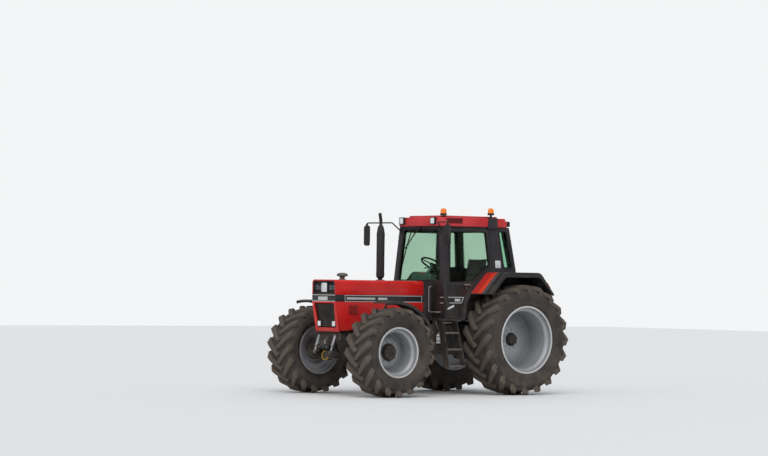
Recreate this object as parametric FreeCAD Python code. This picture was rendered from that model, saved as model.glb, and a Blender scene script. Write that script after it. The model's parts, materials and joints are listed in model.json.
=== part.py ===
import FreeCAD, Part
import math
import os

# Farm tractor with cab, four driven wheels, front and rear linkage. Millimetres, +X forward, +Y left, +Z up.
# Everything is laid out from the ground below the rear axle's centre and moved to the export origin at the end.

V = FreeCAD.Vector
X_AXIS = V(1, 0, 0)
Y_AXIS = V(0, 1, 0)
Z_AXIS = V(0, 0, 1)

# Driving dimensions
WHEELBASE = 2742.0
REAR_TYRE_R = 912.0
REAR_TYRE_W = 650.0
REAR_RIM_R = 559.0
REAR_RIM_W = 584.0
REAR_WHEEL_Y = 931.0
REAR_DISC_INSET = 413.0
FRONT_TYRE_R = 715.0
FRONT_TYRE_W = 600.0
FRONT_RIM_R = 406.0
FRONT_RIM_W = 457.0
FRONT_WHEEL_Y = 1040.0
FRONT_DISC_INSET = 275.0
REAR_HUB_IN = -255.0
FRONT_HUB_IN = -165.0
KINGPIN_Y = 750.0
KINGPIN_R = 22.0
RUNNING_GAP = 0.3
PIN_GAP = 0.1
MOVING_GAP = 8.0

HOOD_HALF = 310.0
HOOD_TOP_Z = 1860.0
HOOD_REAR_X = 1473.0
HOOD_FRONT_X = WHEELBASE + 548.0
HOOD_EDGE_R = 60.0
HOOD_PANEL_Z = 1620.0
BAND_Z = 1509.0
SKIN = 20.0
GRILLE_FOOT_X = HOOD_FRONT_X - 84.0
GRILLE_FOOT_Z = 1024.0
PANEL_FRONT_Z = 1040.0
PANEL_REAR_Z = 1357.0

CAB_HALF = 720.0
CAB_FLOOR_Z = 1250.0
CAB_WALL = 45.0
CAB_FRONT_X = 1330.0
CAB_REAR_X = -150.0
CAB_TAIL_X = -35.0
ROOF_Z = 2765.0
ROOF_H = 160.0
ROOF_FRONT_X = 1345.0
ROOF_REAR_X = -20.0
GLASS = 8.0

ENGINE_HALF = 245.0
ENGINE_Z = 820.0
ENGINE_TOP_Z = 1500.0
ENGINE_REAR_X = 1800.0
ENGINE_FRONT_X = WHEELBASE - 183.0
NOSE_Z = FRONT_TYRE_R + 165.0
WHEELHOUSE_Y = CAB_HALF - 160.0
WHEELHOUSE_T = 25.0
FENDER_OUT_Y = 1215.0
FENDER_T = 28.0
FENDER_TOP_Z = 2018.0
FENDER_CORNER_X = 476.0
FENDER_TAIL_X = -290.0
FENDER_FOOT_Y = CAB_HALF + 2.0

LINK_FRONT = (-150.0, 520.0)
LINK_ARM = 420.0
LINK_REACH = 850.0
LINK_Y = 430.0
LIFT_SHAFT = (-290.0, 1170.0)
LIFT_ARM_Y = 418.0
LIFT_ROD_Y = 470.0
LIFT_PIN_R = 14.0
REAR_LUGS = 20
FRONT_LUGS = 18
CAB_TOE_IN = math.degrees(math.atan(0.0753))
CAB_LEAN_IN = math.degrees(math.atan(0.106 * math.cos(math.atan(0.0753))))
SCREEN_LEAN = 2.76
LEAN_X = 450.0
SCREEN_LOW_Z = 1870.0

FRONT_REACH = WHEELBASE + FRONT_TYRE_R
REAR_REACH = LINK_REACH - LINK_FRONT[0] + 45.0
ORIGIN_X = (FRONT_REACH - REAR_REACH) / 2


def box(x, y, z):
    """Block between pairs of corner coordinates."""
    return Part.makeBox(x[1] - x[0], y[1] - y[0], z[1] - z[0], V(x[0], y[0], z[0]))


def fuse(shapes):
    """One shape out of several that touch or overlap."""
    first = shapes[0]
    return first.fuse(shapes[1:]).removeSplitter() if len(shapes) > 1 else first


def both_sides(shape):
    """A left-hand piece and its mirror image on the right, as two solids."""
    return Part.makeCompound([shape, mirrored(shape)])


def mirrored(shape):
    """The same piece on the other side of the tractor."""
    return shape.mirror(V(0, 0, 0), Y_AXIS)


def outline(points, place):
    """Closed wire through corners (u, v) or (u, v, radius), rounded where a radius is given."""
    count = len(points)
    marks = []
    for i, point in enumerate(points):
        here = V(point[0], point[1], 0)
        if len(point) == 2:
            marks.append((here, here, here))
            continue
        back = V(points[i - 1][0], points[i - 1][1], 0) - here
        ahead = V(points[(i + 1) % count][0], points[(i + 1) % count][1], 0) - here
        half = back.getAngle(ahead) / 2
        back.normalize()
        ahead.normalize()
        reach = point[2] / math.tan(half)
        middle = (back + ahead).normalize() * (point[2] / math.sin(half) - point[2])
        marks.append((here + back * reach, here + middle, here + ahead * reach))
    edges = []
    for i, (start, middle, end) in enumerate(marks):
        if (end - start).Length > 1e-6:
            edges.append(Part.Arc(place(start), place(middle), place(end)).toShape())
        follow = marks[(i + 1) % count][0]
        if (follow - end).Length > 1e-6:
            edges.append(Part.LineSegment(place(end), place(follow)).toShape())
    return Part.Wire(edges)


def side_plate(points, y0, y1):
    """Outline in side view (x, z), as thick as from y0 to y1."""
    face = Part.Face(outline(points, lambda p: V(p.x, y0, p.y)))
    return face.extrude(V(0, y1 - y0, 0))


def front_plate(points, x0, x1):
    """Outline in front view (y, z), as thick as from x0 to x1."""
    face = Part.Face(outline(points, lambda p: V(x0, p.x, p.y)))
    return face.extrude(V(x1 - x0, 0, 0))


def top_plate(points, z0, z1):
    """Outline in plan (x, y), as thick as from z0 to z1."""
    face = Part.Face(outline(points, lambda p: V(p.x, p.y, z0)))
    return face.extrude(V(0, 0, z1 - z0))


def rod(start, end, radius):
    """Round bar between two points."""
    a = V(*start)
    b = V(*end)
    return Part.makeCylinder(radius, (b - a).Length, a, b - a)


def bent_tube(points, bend, radius):
    """Round tube along straight runs with one bend radius."""
    path = [V(*p) for p in points]
    edges = []
    start = path[0]
    for i in range(1, len(path) - 1):
        back = (path[i - 1] - path[i]).normalize()
        ahead = (path[i + 1] - path[i]).normalize()
        half = back.getAngle(ahead) / 2
        reach = bend / math.tan(half)
        first = path[i] + back * reach
        last = path[i] + ahead * reach
        middle = path[i] + (back + ahead).normalize() * (bend / math.sin(half) - bend)
        edges.append(Part.LineSegment(start, first).toShape())
        edges.append(Part.Arc(first, middle, last).toShape())
        start = last
    edges.append(Part.LineSegment(start, path[-1]).toShape())
    wire = Part.Wire(edges)
    ring = Part.Wire(Part.makeCircle(radius, path[0], path[1] - path[0]))
    return wire.makePipeShell([ring], True, False)


def spun(profile, centre):
    """Solid of revolution about an axle along Y, from (y, r) corners measured from a centre."""
    points = [V(centre[0], centre[1] + y, centre[2] + r) for y, r in profile]
    face = Part.Face(Part.makePolygon(points + [points[0]]))
    return face.revolve(V(*centre), Y_AXIS, 360)


def turned(profile, centre):
    """Solid of revolution about an upright axis, from (r, z) corners measured from a centre."""
    points = [V(centre[0] + r, centre[1], centre[2] + z) for r, z in profile]
    face = Part.Face(Part.makePolygon(points + [points[0]]))
    return face.revolve(V(*centre), Z_AXIS, 360)


# Wheels

def facets(points, faces):
    """Solid out of flat faces over numbered corners."""
    flat = []
    for face in faces:
        corners = [points[i] for i in face]
        flat.append(Part.Face(Part.makePolygon(corners + [corners[0]])))
    solid = Part.Solid(Part.Shell(flat))
    if solid.Volume < 0:
        solid.reverse()
    return solid


def tyre_lug(centre, tyre_r, crown, way, start, sweep, stations):
    """One bar of the tread between an inner and a shoulder station (share, foot y, top y, drop, foot, top)."""
    cx, cy, cz = centre
    points = []
    for share, y_foot, y_top, drop, w_foot, w_top in stations:
        corners = (
            (y_foot, crown - 60, -w_foot), (y_top, tyre_r - drop, -w_top),
            (y_top, tyre_r - drop, w_top), (y_foot, crown - 60, w_foot),
        )
        for y, r, w in corners:
            a = start + share * sweep + w / tyre_r
            points.append(V(cx + r * math.cos(a), cy + way * y, cz + r * math.sin(a)))
    faces = [[0, 1, 2], [0, 2, 3], [4, 6, 5], [4, 7, 6]]
    for i in range(4):
        j = (i + 1) % 4
        faces += [[i, j, 4 + j], [i, 4 + j, 4 + i]]
    return facets(points, faces)


def tyre(centre, tyre_r, tyre_w, rim_r, rim_w, lugs, lug_h):
    """Tyre in flat facets, seated on the rim's bead seats, with two staggered rows of bars."""
    half = tyre_w / 2
    crown = tyre_r - lug_h
    seat = (rim_r - 22) / math.cos(math.pi / lugs)
    bead = rim_w / 2 - 14
    wall = tyre_r - rim_r
    top = 22
    lead = top / tyre_r - math.pi / 2
    right = [(bead, seat), (bead, rim_r + 12), (half - 5, rim_r + 0.5 * wall), (half - 66, crown)]
    rings = right + [(-y, r) for y, r in reversed(right)]
    cx, cy, cz = centre
    points = []
    for k in range(lugs):
        a = lead + 2 * math.pi * k / lugs
        points += [V(cx + r * math.cos(a), cy + y, cz + r * math.sin(a)) for y, r in rings]
    n = len(rings)
    faces = []
    for k in range(lugs):
        here = k * n
        ahead = (k + 1) % lugs * n
        faces += [[here + i, here + (i + 1) % n, ahead + (i + 1) % n, ahead + i] for i in range(n)]
    stations = ((0.0, -6, -6, 0, 36, top), (1.0, half - 60, half - 4, 22, 46, 30))
    bars = []
    for way in (1, -1):
        for k in range(lugs):
            start = lead + 2 * math.pi * (k + (0.5 if way < 0 else 0)) / lugs
            bars.append(tyre_lug(centre, tyre_r, crown, way, start, math.radians(19), stations))
    return facets(points, faces).fuse(bars).removeSplitter()


def rim(centre, rim_r, rim_w, inset, hub_r, hub_out, hub_in):
    """Dished steel wheel: flanged barrel with a drop centre, disc and hub."""
    seat = rim_r - 22 - RUNNING_GAP
    edge = rim_w / 2
    bead = edge - 14 + RUNNING_GAP
    gauge = 9
    face = edge - inset
    barrel = spun([
        (edge, seat - gauge), (edge, rim_r), (edge - 10, rim_r), (bead, rim_r - 6), (bead, seat),
        (bead - 50, seat), (bead - 85, seat - 55), (face - 100, seat - 55), (face - 118, seat),
        (-bead, seat), (-bead, rim_r - 6), (10 - edge, rim_r), (-edge, rim_r), (-edge, seat - gauge),
        (face - 122, seat - gauge), (face - 103, seat - 55 - gauge),
        (bead - 82, seat - 55 - gauge), (bead - 47, seat - gauge),
    ], centre)
    ring = seat - 55 - gauge + 2
    disc = spun([
        (face, 0), (face, hub_r + 70), (face - 60, ring - 70), (face - 72, ring),
        (face - 92, ring), (face - 78, ring - 76), (face - 16, hub_r + 66), (face - 16, 0),
    ], centre)
    hub = spun([
        (face - 20, 0), (face - 20, hub_r), (hub_out - 22, hub_r), (hub_out, hub_r - 22), (hub_out, 0),
    ], centre)
    drum = spun([(hub_in, 0), (hub_in, hub_r + 40), (face - 8, hub_r + 40), (face - 8, 0)], centre)
    return fuse([barrel, disc, hub, drum])


# Driveline

def transmission():
    """Clutch, gearbox and rear axle centre housings in one casting, with the rear shaft end."""
    front = ENGINE_REAR_X - RUNNING_GAP
    clutch = side_plate([(1330, 655), (front, 705), (front, 1150, 40), (1330, 1130)], -215, 215)
    gearbox = side_plate([
        (320, 640, 40), (1340, 650, 20), (1340, 1120), (320, 1160),
    ], -225, 225)
    centre = side_plate([
        (-330, 560, 80), (-330, 1060, 60), (-120, 1190), (330, 1190, 60), (330, 560, 80),
    ], -290, 290)
    sx, sz = LIFT_SHAFT
    ear = side_plate([
        (sx - 50, sz - 50), (sx - 50, sz + 50, 45), (sx + 60, sz + 50, 30), (sx + 200, sz), (sx + 100, sz - 120),
    ], 200, 280)
    bore = rod((sx, -300, sz), (sx, 300, sz), 32 + PIN_GAP)
    lugs = [piece.cut(bore) for piece in (ear, mirrored(ear))]
    shaft = rod((-329, 0, 760), (-430, 0, 760), 17.45)
    boss = rod((-320, 0, 760), (-350, 0, 760), 60)
    return fuse([clutch, gearbox, centre, boss, shaft] + lugs)


def rear_axle():
    """Pair of tapered axle housings that end in flanges inside the wheels."""
    hub = REAR_WHEEL_Y + REAR_HUB_IN - RUNNING_GAP
    half = spun([
        (290, 0), (290, 235), (330, 235), (360, 190), (620, 125), (640, 160), (hub, 160), (hub, 0),
    ], (0, 0, REAR_TYRE_R))
    return both_sides(half)


def front_support():
    """Cast frame under the radiator, with side rails bolted along the engine."""
    back = ENGINE_FRONT_X + 1
    front = CARRIER_X - RUNNING_GAP
    nose = side_plate([(back, NOSE_Z), (front, NOSE_Z), (front, 1035), (back, 1035)], -225, 225)
    rail = side_plate([
        (ENGINE_REAR_X, 940), (back, NOSE_Z), (back + 40, NOSE_Z), (back + 40, 1010), (ENGINE_REAR_X, 1060),
    ], ENGINE_HALF + RUNNING_GAP, 272)
    strap = box((back, back + 40), (-272, 272), (NOSE_Z, 1010))
    low = PIVOT_Z - 48
    lug = front_plate([(-110, NOSE_Z + 5), (-60, low, 40), (60, low, 40), (110, NOSE_Z + 5)], 0, 38)
    parts = [nose, strap, rail, mirrored(rail)]
    for x in (WHEELBASE - 180, WHEELBASE + 142):
        piece = lug.copy()
        piece.translate(V(x, 0, 0))
        parts.append(piece)
    bore = rod((WHEELBASE - 342, 0, PIVOT_Z), (WHEELBASE + 258, 0, PIVOT_Z), PIVOT_R + RUNNING_GAP)
    return fuse(parts).cut(bore)


PIVOT_Z = FRONT_TYRE_R + 130.0
PIVOT_R = 30.0


def front_axle():
    """Beam axle with its differential, fork ends for the kingpins and the steering cylinder."""
    x = WHEELBASE
    z = FRONT_TYRE_R
    beam = spun([
        (-640, 0), (-640, 95), (-230, 95), (-170, 150), (170, 150), (230, 95), (640, 95), (640, 0),
    ], (x, 0, z))
    pinion = rod((x - 120, 0, z), (x - SHAFT_END, 0, z), 78)
    pivot = rod((x - 182, 0, PIVOT_Z), (x + 182, 0, PIVOT_Z), PIVOT_R)
    saddle = box((x - 138, x + 138), (-70, 70), (z, PIVOT_Z + 20))
    cylinder = rod((x - 215, -200, z), (x - 215, 200, z), 45)
    bridge = box((x - 215, x), (-60, 60), (z - 40, z + 40))
    parts = [beam, pinion, pivot, saddle, cylinder, bridge]
    fork = front_plate([
        (590, z - 160, 20), (800, z - 160, 20), (800, z - 123), (660, z - 123), (660, z + 123), (800, z + 123),
        (800, z + 160, 20), (590, z + 160, 20),
    ], x - 40, x + 40)
    solid = fuse(parts + [fork, mirrored(fork)])
    for side in (-1, 1):
        solid = solid.cut(rod((x, side * KINGPIN_Y, z - 200), (x, side * KINGPIN_Y, z + 200), KINGPIN_R + PIN_GAP))
    return solid.cut(rod((x - STEER_ARM, -300, z), (x - STEER_ARM, 300, z), TRACK_ROD_R + PIN_GAP))


STEER_ARM = 215.0
TRACK_ROD_R = 16.0
STAY_X = 160.0
SHAFT_END = 290.0
FRONT_FENDER_R = FRONT_TYRE_R + 85.0


def knuckle():
    """Left wheel-end housing that turns on the kingpin, with the steering arm."""
    x = WHEELBASE
    z = FRONT_TYRE_R
    body = fuse([
        Part.makeCylinder(62, 230, V(x, KINGPIN_Y, z - 115)), Part.makeCylinder(KINGPIN_R, 316, V(x, KINGPIN_Y, z - 158)),
    ])
    end = rod((x, KINGPIN_Y + 30, z), (x, FRONT_WHEEL_Y + FRONT_HUB_IN - RUNNING_GAP, z), 118)
    tip = x - STEER_ARM
    arm = top_plate([
        (x + 40, KINGPIN_Y - 20), (tip - 30, KINGPIN_Y - 45, 30), (tip - 30, KINGPIN_Y + 25, 30), (x + 40, KINGPIN_Y + 40),
    ], z - 110, z - 80)
    stud = Part.makeCylinder(14, 30, V(tip, KINGPIN_Y - 10, z - 135 + RUNNING_GAP))
    side = KINGPIN_Y - 45
    crown = math.sqrt((FRONT_FENDER_R - RUNNING_GAP - 17) ** 2 - STAY_X ** 2)
    stay = bent_tube([
        (x - 30, KINGPIN_Y, z + 88), (x - STAY_X, side, z + 88), (x - STAY_X, side, z + crown),
        (x - STAY_X, FENDER_OUT_Y - 40, z + crown),
    ], 45, 17)
    return fuse([body, end, arm, stud, stay])


def track_rod():
    """Piston rod through the steering cylinder, with an eye at each end below the steering arms."""
    x = WHEELBASE - STEER_ARM
    z = FRONT_TYRE_R
    tip = KINGPIN_Y - 10
    low = z - 152
    bar = bent_tube([
        (x, -tip, low), (x, 130 - tip, low), (x, 240 - tip, z), (x, tip - 240, z), (x, tip - 130, low), (x, tip, low),
    ], 40, TRACK_ROD_R)
    ends = [bar]
    for side in (-1, 1):
        ends.append(Part.makeCylinder(28, 30, V(x, side * tip, z - 165)))
    return fuse(ends)


def drive_shaft():
    """Guarded shaft from the gearbox to the front axle."""
    start = (ENGINE_REAR_X + 3.2, 0, 757)
    end = (WHEELBASE - SHAFT_END - 3.6, 0, FRONT_TYRE_R)
    return rod(start, end, 48)


# Hood and front

EXHAUST = (1980.0, -200.0)
EXHAUST_PIPE_R = 36.0


def shell_u(x0, x1, z0, z1, edge_r):
    """Upside-down U section over the engine, open below."""
    r = edge_r
    outer = [(-HOOD_HALF, z0), (-HOOD_HALF, z1, r), (HOOD_HALF, z1, r), (HOOD_HALF, z0)]
    inner = [
        (HOOD_HALF - SKIN, z0), (HOOD_HALF - SKIN, z1 - SKIN, r - SKIN),
        (SKIN - HOOD_HALF, z1 - SKIN, r - SKIN), (SKIN - HOOD_HALF, z0),
    ]
    return front_plate(outer, x0, x1).cut(front_plate(inner, x0, x1))


def hood_top():
    """Long upper shell of the hood, closed at the rear by a bulkhead."""
    shell = shell_u(HOOD_REAR_X, HOOD_FRONT_X, HOOD_PANEL_Z, HOOD_TOP_Z, HOOD_EDGE_R)
    inside = HOOD_HALF - SKIN
    rear = box((HOOD_REAR_X, HOOD_REAR_X + SKIN), (-inside - 5, inside + 5), (HOOD_PANEL_Z, HOOD_TOP_Z - SKIN + 5))
    hole = Part.makeCylinder(EXHAUST_PIPE_R + 6, 60, V(EXHAUST[0], EXHAUST[1], HOOD_TOP_Z - 40))
    return fuse([shell, rear]).cut(hole)


def hood_band():
    """Dark band below the upper shell, along both sides and across the front."""
    inside = HOOD_HALF - SKIN
    z = (BAND_Z, HOOD_PANEL_Z)
    parts = [
        box((HOOD_REAR_X, HOOD_FRONT_X), (inside, HOOD_HALF), z),
        box((HOOD_REAR_X, HOOD_FRONT_X), (-HOOD_HALF, -inside), z),
        box((HOOD_FRONT_X - SKIN, HOOD_FRONT_X), (-HOOD_HALF, HOOD_HALF), z),
    ]
    return fuse(parts)


def side_panel():
    """Left lower side panel, swept up towards the cab."""
    foot = GRILLE_FOOT_X - 26
    points = [
        (HOOD_REAR_X, BAND_Z), (HOOD_REAR_X, PANEL_REAR_Z), (3020, PANEL_FRONT_Z, 60), (foot, PANEL_FRONT_Z, 30),
        (HOOD_FRONT_X - SKIN, BAND_Z),
    ]
    return side_plate(points, HOOD_HALF - SKIN, HOOD_HALF)


GRILLE_TOP = (262.0, 1480.0)
GRILLE_LOW = (225.0, 1090.0)


def grille_half(z):
    """Half width of the lower grille's opening at a height."""
    share = (z - GRILLE_LOW[1]) / (GRILLE_TOP[1] - GRILLE_LOW[1])
    return GRILLE_LOW[0] + share * (GRILLE_TOP[0] - GRILLE_LOW[0])


def front_frame():
    """Surround of the lower grille, leaning back towards its foot, with the apron below it."""
    top = (HOOD_FRONT_X, BAND_Z)
    foot = (GRILLE_FOOT_X, GRILLE_FOOT_Z)
    whole = side_plate([
        (top[0] - 20, top[1]), top, foot, (foot[0] - 20, foot[1]),
    ], -HOOD_HALF, HOOD_HALF)
    taper = front_plate([
        (-GRILLE_TOP[0], GRILLE_TOP[1], 15), (GRILLE_TOP[0], GRILLE_TOP[1], 15),
        (GRILLE_LOW[0], GRILLE_LOW[1], 15), (-GRILLE_LOW[0], GRILLE_LOW[1], 15),
    ], 3100, 3400)
    return whole.cut(taper)


def grille():
    """Dark lower grille: back plate and level slats set into the surround."""
    lean = (HOOD_FRONT_X - GRILLE_FOOT_X) / (BAND_Z - GRILLE_FOOT_Z)

    def face_x(z):
        return GRILLE_FOOT_X + lean * (z - GRILLE_FOOT_Z)

    back = side_plate([
        (face_x(1470) - 40, 1470), (face_x(1470) - 28, 1470), (face_x(1100) - 28, 1100), (face_x(1100) - 40, 1100),
    ], -215, 215)
    slats = []
    count = 11
    for i in range(count):
        z = 1112 + i * (1458 - 1112) / (count - 1)
        half = grille_half(z - 4) - RUNNING_GAP
        slats.append(box((face_x(z) - 34, face_x(z) - 6), (-half, half), (z - 4, z + 4)))
    return fuse([back] + slats)


def lamp_panel():
    """Upper front panel in the hood's mouth: recessed lamp bay with level bars and a centre plate."""
    inside = HOOD_HALF - SKIN - RUNNING_GAP
    low = HOOD_PANEL_Z + RUNNING_GAP
    high = HOOD_TOP_Z - SKIN - RUNNING_GAP
    x = HOOD_FRONT_X
    plate = front_plate([(-inside, low), (-inside, high, 40), (inside, high, 40), (inside, low)], x - 70, x - 2)
    bay = front_plate([(-inside + 14, low + 22, 8), (-inside + 14, high - 12, 30), (inside - 14, high - 12, 30),
                       (inside - 14, low + 22, 8)], x - 45, x)
    parts = [plate.cut(bay)]
    for i in range(3):
        z = low + 70 + i * 45
        parts.append(box((x - 50, x - 12), (-inside + 10, inside - 10), (z, z + 7)))
    parts.append(box((x - 50, x - 8), (-75, 75), (low + 28, high - 20)))
    return fuse(parts)


def front_grilles():
    """Both grilles of the nose, one above the other."""
    return Part.makeCompound([lamp_panel(), grille()])


def exhaust():
    """Upright silencer with its curved outlet."""
    x, y = EXHAUST
    low = ENGINE_TOP_Z + RUNNING_GAP - HOOD_TOP_Z
    pipe = EXHAUST_PIPE_R
    body = turned([
        (0, low), (pipe, low), (pipe, 25), (67, 60), (67, 780), (48, 880), (34, 900), (34, 905), (0, 905),
    ], (x, y, HOOD_TOP_Z))
    tip = bent_tube([(x, y, 2740), (x, y, 2840), (x + 45, y + 30, 2960)], 60, 27)
    return fuse([body, tip])


def air_intake():
    """Pre-cleaner bowl on its stem."""
    return turned([
        (0, RUNNING_GAP), (62, RUNNING_GAP), (62, 8), (42, 12), (42, 48), (90, 62), (92, 84), (70, 108), (0, 118),
    ], (2920, 0, HOOD_TOP_Z))


# Front linkage

FRONT_ARM_PIVOT = (WHEELBASE + 288.0, 610.0)
FRONT_PIVOT_R = 18.0
FRONT_ARM_Y = 246.0
FRONT_CYLINDER_Y = 211.0
BARREL_PIN = (WHEELBASE + 458.0, 960.0)
BARREL_PIN_R = 16.0
ROD_PIN = (WHEELBASE + 558.0, 690.0)
CARRIER_X = WHEELBASE + 418.0 + RUNNING_GAP


def front_linkage():
    """Carrier bolted to the front support, with cheeks for the arms and the lift cylinders."""
    px, pz = FRONT_ARM_PIVOT
    top = NOSE_Z - RUNNING_GAP
    plate = box((CARRIER_X, 3180), (-HOOD_HALF, HOOD_HALF), (top, 1000))
    plate = plate.cut(box((3150, 3190), (174, 250), (885, 1010))).cut(box((3150, 3190), (-250, -174), (885, 1010)))
    centre = side_plate([(CARRIER_X, 720), (3290, 754, 20), (3290, 940, 20), (CARRIER_X, 985)], -124, 124)
    sole = box((2985, CARRIER_X + 5), (-280, 280), (top - 38, top))
    cheek = side_plate([
        (px - 45, pz - 50, 30), (px + 45, pz - 50, 30), (3190, 760), (3235, 900), (3235, 995, 20), (CARRIER_X, 995),
        (CARRIER_X, top), (px - 45, top),
    ], 0, 16)
    cheek = cheek.cut(rod((px, -1, pz), (px, 20, pz), FRONT_PIVOT_R + PIN_GAP))
    parts = [plate, centre, sole]
    for y in (-280, -166, 150, 264):
        piece = cheek.copy()
        piece.translate(V(0, y, 0))
        parts.append(piece)
    pin = rod((BARREL_PIN[0], -280, BARREL_PIN[1]), (BARREL_PIN[0], 280, BARREL_PIN[1]), BARREL_PIN_R)
    guard = rod((3110, 0, 640), (3250, 0, 640), 55)
    stub = rod((3110, 0, 640), (3300, 0, 640), 17.45)
    hanger = box((3110, CARRIER_X + 20), (-40, 40), (650, 850))
    return fuse(parts + [pin, guard, stub, hanger])


def front_lift_arms():
    """Pair of short lower arms with hooks, on one pivot shaft."""
    px, pz = FRONT_ARM_PIVOT
    arm = side_plate([
        (px - 42, pz - 36, 30), (3330, 600, 20), (3430, 640, 12), (3425, 720, 10), (3385, 725, 8), (3378, 690, 8),
        (3345, 690, 8), (3325, 722, 12), (3270, 722, 12), (px - 42, pz + 36, 30),
    ], FRONT_ARM_Y - 10, FRONT_ARM_Y + 10)
    head = rod((ROD_PIN[0], FRONT_ARM_Y, ROD_PIN[1]), (ROD_PIN[0], FRONT_ARM_Y + 18, ROD_PIN[1]), 20)
    arm = fuse([arm, head])
    shaft = rod((px, -FRONT_ARM_Y - 34, pz), (px, FRONT_ARM_Y + 34, pz), FRONT_PIVOT_R)
    return fuse([arm, mirrored(arm), shaft])


def lift_cylinder(side):
    """Barrel and rod of one front lift cylinder along the line between its two pins."""
    y = side * FRONT_CYLINDER_Y
    a = V(BARREL_PIN[0], y, BARREL_PIN[1])
    b = V(ROD_PIN[0], y, ROD_PIN[1])
    along = (b - a).normalize()
    eye = Part.makeCylinder(BARREL_PIN_R + 14, 30, a - Y_AXIS * 15, Y_AXIS)
    barrel = fuse([eye, Part.makeCylinder(32, 176, a + along * 8, along)])
    barrel = barrel.cut(Part.makeCylinder(BARREL_PIN_R + PIN_GAP, 80, a - Y_AXIS * 40, Y_AXIS))
    barrel = barrel.cut(Part.makeCylinder(17 + PIN_GAP, 200, a + along * 40, along))
    piston = Part.makeCylinder(17, (b - a).Length - 130, a + along * 130, along)
    tip = Part.makeCylinder(28, 30, b - Y_AXIS * 15, Y_AXIS)
    pin = Part.makeCylinder(14, FRONT_ARM_Y - 10 - RUNNING_GAP - FRONT_CYLINDER_Y, b, Y_AXIS * side)
    return barrel, fuse([piston, tip, pin])


# Cab

DOOR_TOP_Z = 2735.0
DOOR_FRONT_X = 1272.0
HINGE = (DOOR_FRONT_X + 18.0, CAB_HALF + 15.0)
HINGE_ZS = (1480.0, 2560.0)
SCREEN_TOP_Z = 2712.0
REAR_PANE = (2080.0, 2700.0)
SEAT_Z = 1330.0


def leaned(shape):
    """Turn a left cab side drawn upright inwards, towards the front and towards the roof."""
    piece = shape.copy()
    pivot = V(LEAN_X, CAB_HALF, SCREEN_LOW_Z)
    piece.rotate(pivot, Z_AXIS, -CAB_TOE_IN)
    a = math.radians(CAB_TOE_IN)
    piece.rotate(pivot, V(math.cos(a), -math.sin(a), 0), CAB_LEAN_IN)
    return piece


def swept(shape, x=CAB_FRONT_X):
    """Lean a piece drawn upright back with the windscreen."""
    piece = shape.copy()
    piece.rotate(V(x, 0, SCREEN_LOW_Z), Y_AXIS, -SCREEN_LEAN)
    return piece


def sweep_x(x, z):
    """Where an upright line at x comes to at a height once it leans back with the windscreen."""
    return x - (z - SCREEN_LOW_Z) * math.tan(math.radians(SCREEN_LEAN))


def side_y(x, z):
    """Half width of the cab over its leaning sides."""
    return CAB_HALF - 0.0753 * (x - LEAN_X) - 0.106 * (z - SCREEN_LOW_Z)


def within_sides(shape):
    """Trim a piece across the cab just inside both sides' outer faces and below the roof."""
    side = leaned(box((-900, 1900), (-2500, CAB_HALF - 5), (700, 3400)))
    low = box((-900, 1900), (-1000, 1000), (CAB_FLOOR_Z - 30, ROOF_Z - RUNNING_GAP))
    return shape.common(side).common(mirrored(side)).common(low)


def door_outline(grow):
    """Edge of the left door in side view, grown outwards by a clearance."""
    g = grow
    high = DOOR_TOP_Z + g
    low = CAB_FLOOR_Z - g
    return [
        (sweep_x(DOOR_FRONT_X, high) + g, high, 30), (sweep_x(DOOR_FRONT_X, low) + g, low, 20), (1004 - g, low, 60),
        (925 - g, 1640 - g, 80), (783 - g, 1830 - g, 60), (333 - g, 2106 - g, 40), (380 - g, high, 30),
    ]


def glass_outline(grow):
    """Edge of the door's window in side view."""
    g = grow
    return [
        (sweep_x(1222, 2686) + g, 2686 + g, 30), (sweep_x(1222, 1842) + g, 1842 - g, 30), (770 - g, 1862 - g, 60),
        (385 - g, 2142 - g, 40), (427 - g, 2686 + g, 30),
    ]


def quarter_outline(grow):
    """Edge of the rear quarter window in side view."""
    g = grow
    return [(165 + g, 2703 + g, 25), (95 + g, 2100 - g, 25), (-80 - g, 2100 - g, 30), (14 - g, 2703 + g, 30)]


def door():
    """Left door: frame and lower panel with its window cut, hinge leaves in front and handle behind."""
    y1 = CAB_HALF
    y0 = CAB_HALF - CAB_WALL
    leaf = side_plate(door_outline(0), y0, y1).cut(side_plate(glass_outline(0), y0 - 5, y1 + 5))
    handle = fuse([
        box((820, 930), (y1 + 22, y1 + 36), (1792, 1814)),
        box((820, 842), (y1 - 2, y1 + 30), (1792, 1814)),
        box((908, 930), (y1 - 2, y1 + 30), (1792, 1814)),
    ])
    parts = [leaf, handle]
    hx, hy = HINGE
    for z in HINGE_ZS:
        leaves = [
            Part.makeCylinder(13, 56, V(hx, hy, z - 28)), box((hx - 62, hx), (hy - 7, hy + 4), (z - 28, z + 28)),
            box((hx - 62, DOOR_FRONT_X - 6), (y1 - 2, hy), (z - 28, z + 28)),
        ]
        parts += [swept(piece, hx) for piece in leaves]
    pin = Part.makeCylinder(7 + PIN_GAP, 2000, V(hx, hy, 1000))
    return leaned(fuse(parts).cut(swept(pin, hx)))


def hinge_brackets():
    """Left door's hinge pins, each between two ears on the pillar."""
    hx, hy = HINGE
    parts = []
    for z in HINGE_ZS:
        parts.append(Part.makeCylinder(7, 92, V(hx, hy, z - 46)))
        for low in (z - 46, z + 30):
            parts.append(box((hx - 7, hx + 34), (CAB_HALF - 5, hy + 8), (low, low + 16)))
    return [leaned(swept(piece, hx)) for piece in parts]


def door_glass():
    """Left door's pane."""
    y = CAB_HALF - CAB_WALL / 2
    return leaned(side_plate(glass_outline(-RUNNING_GAP), y - GLASS / 2, y + GLASS / 2))


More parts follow.
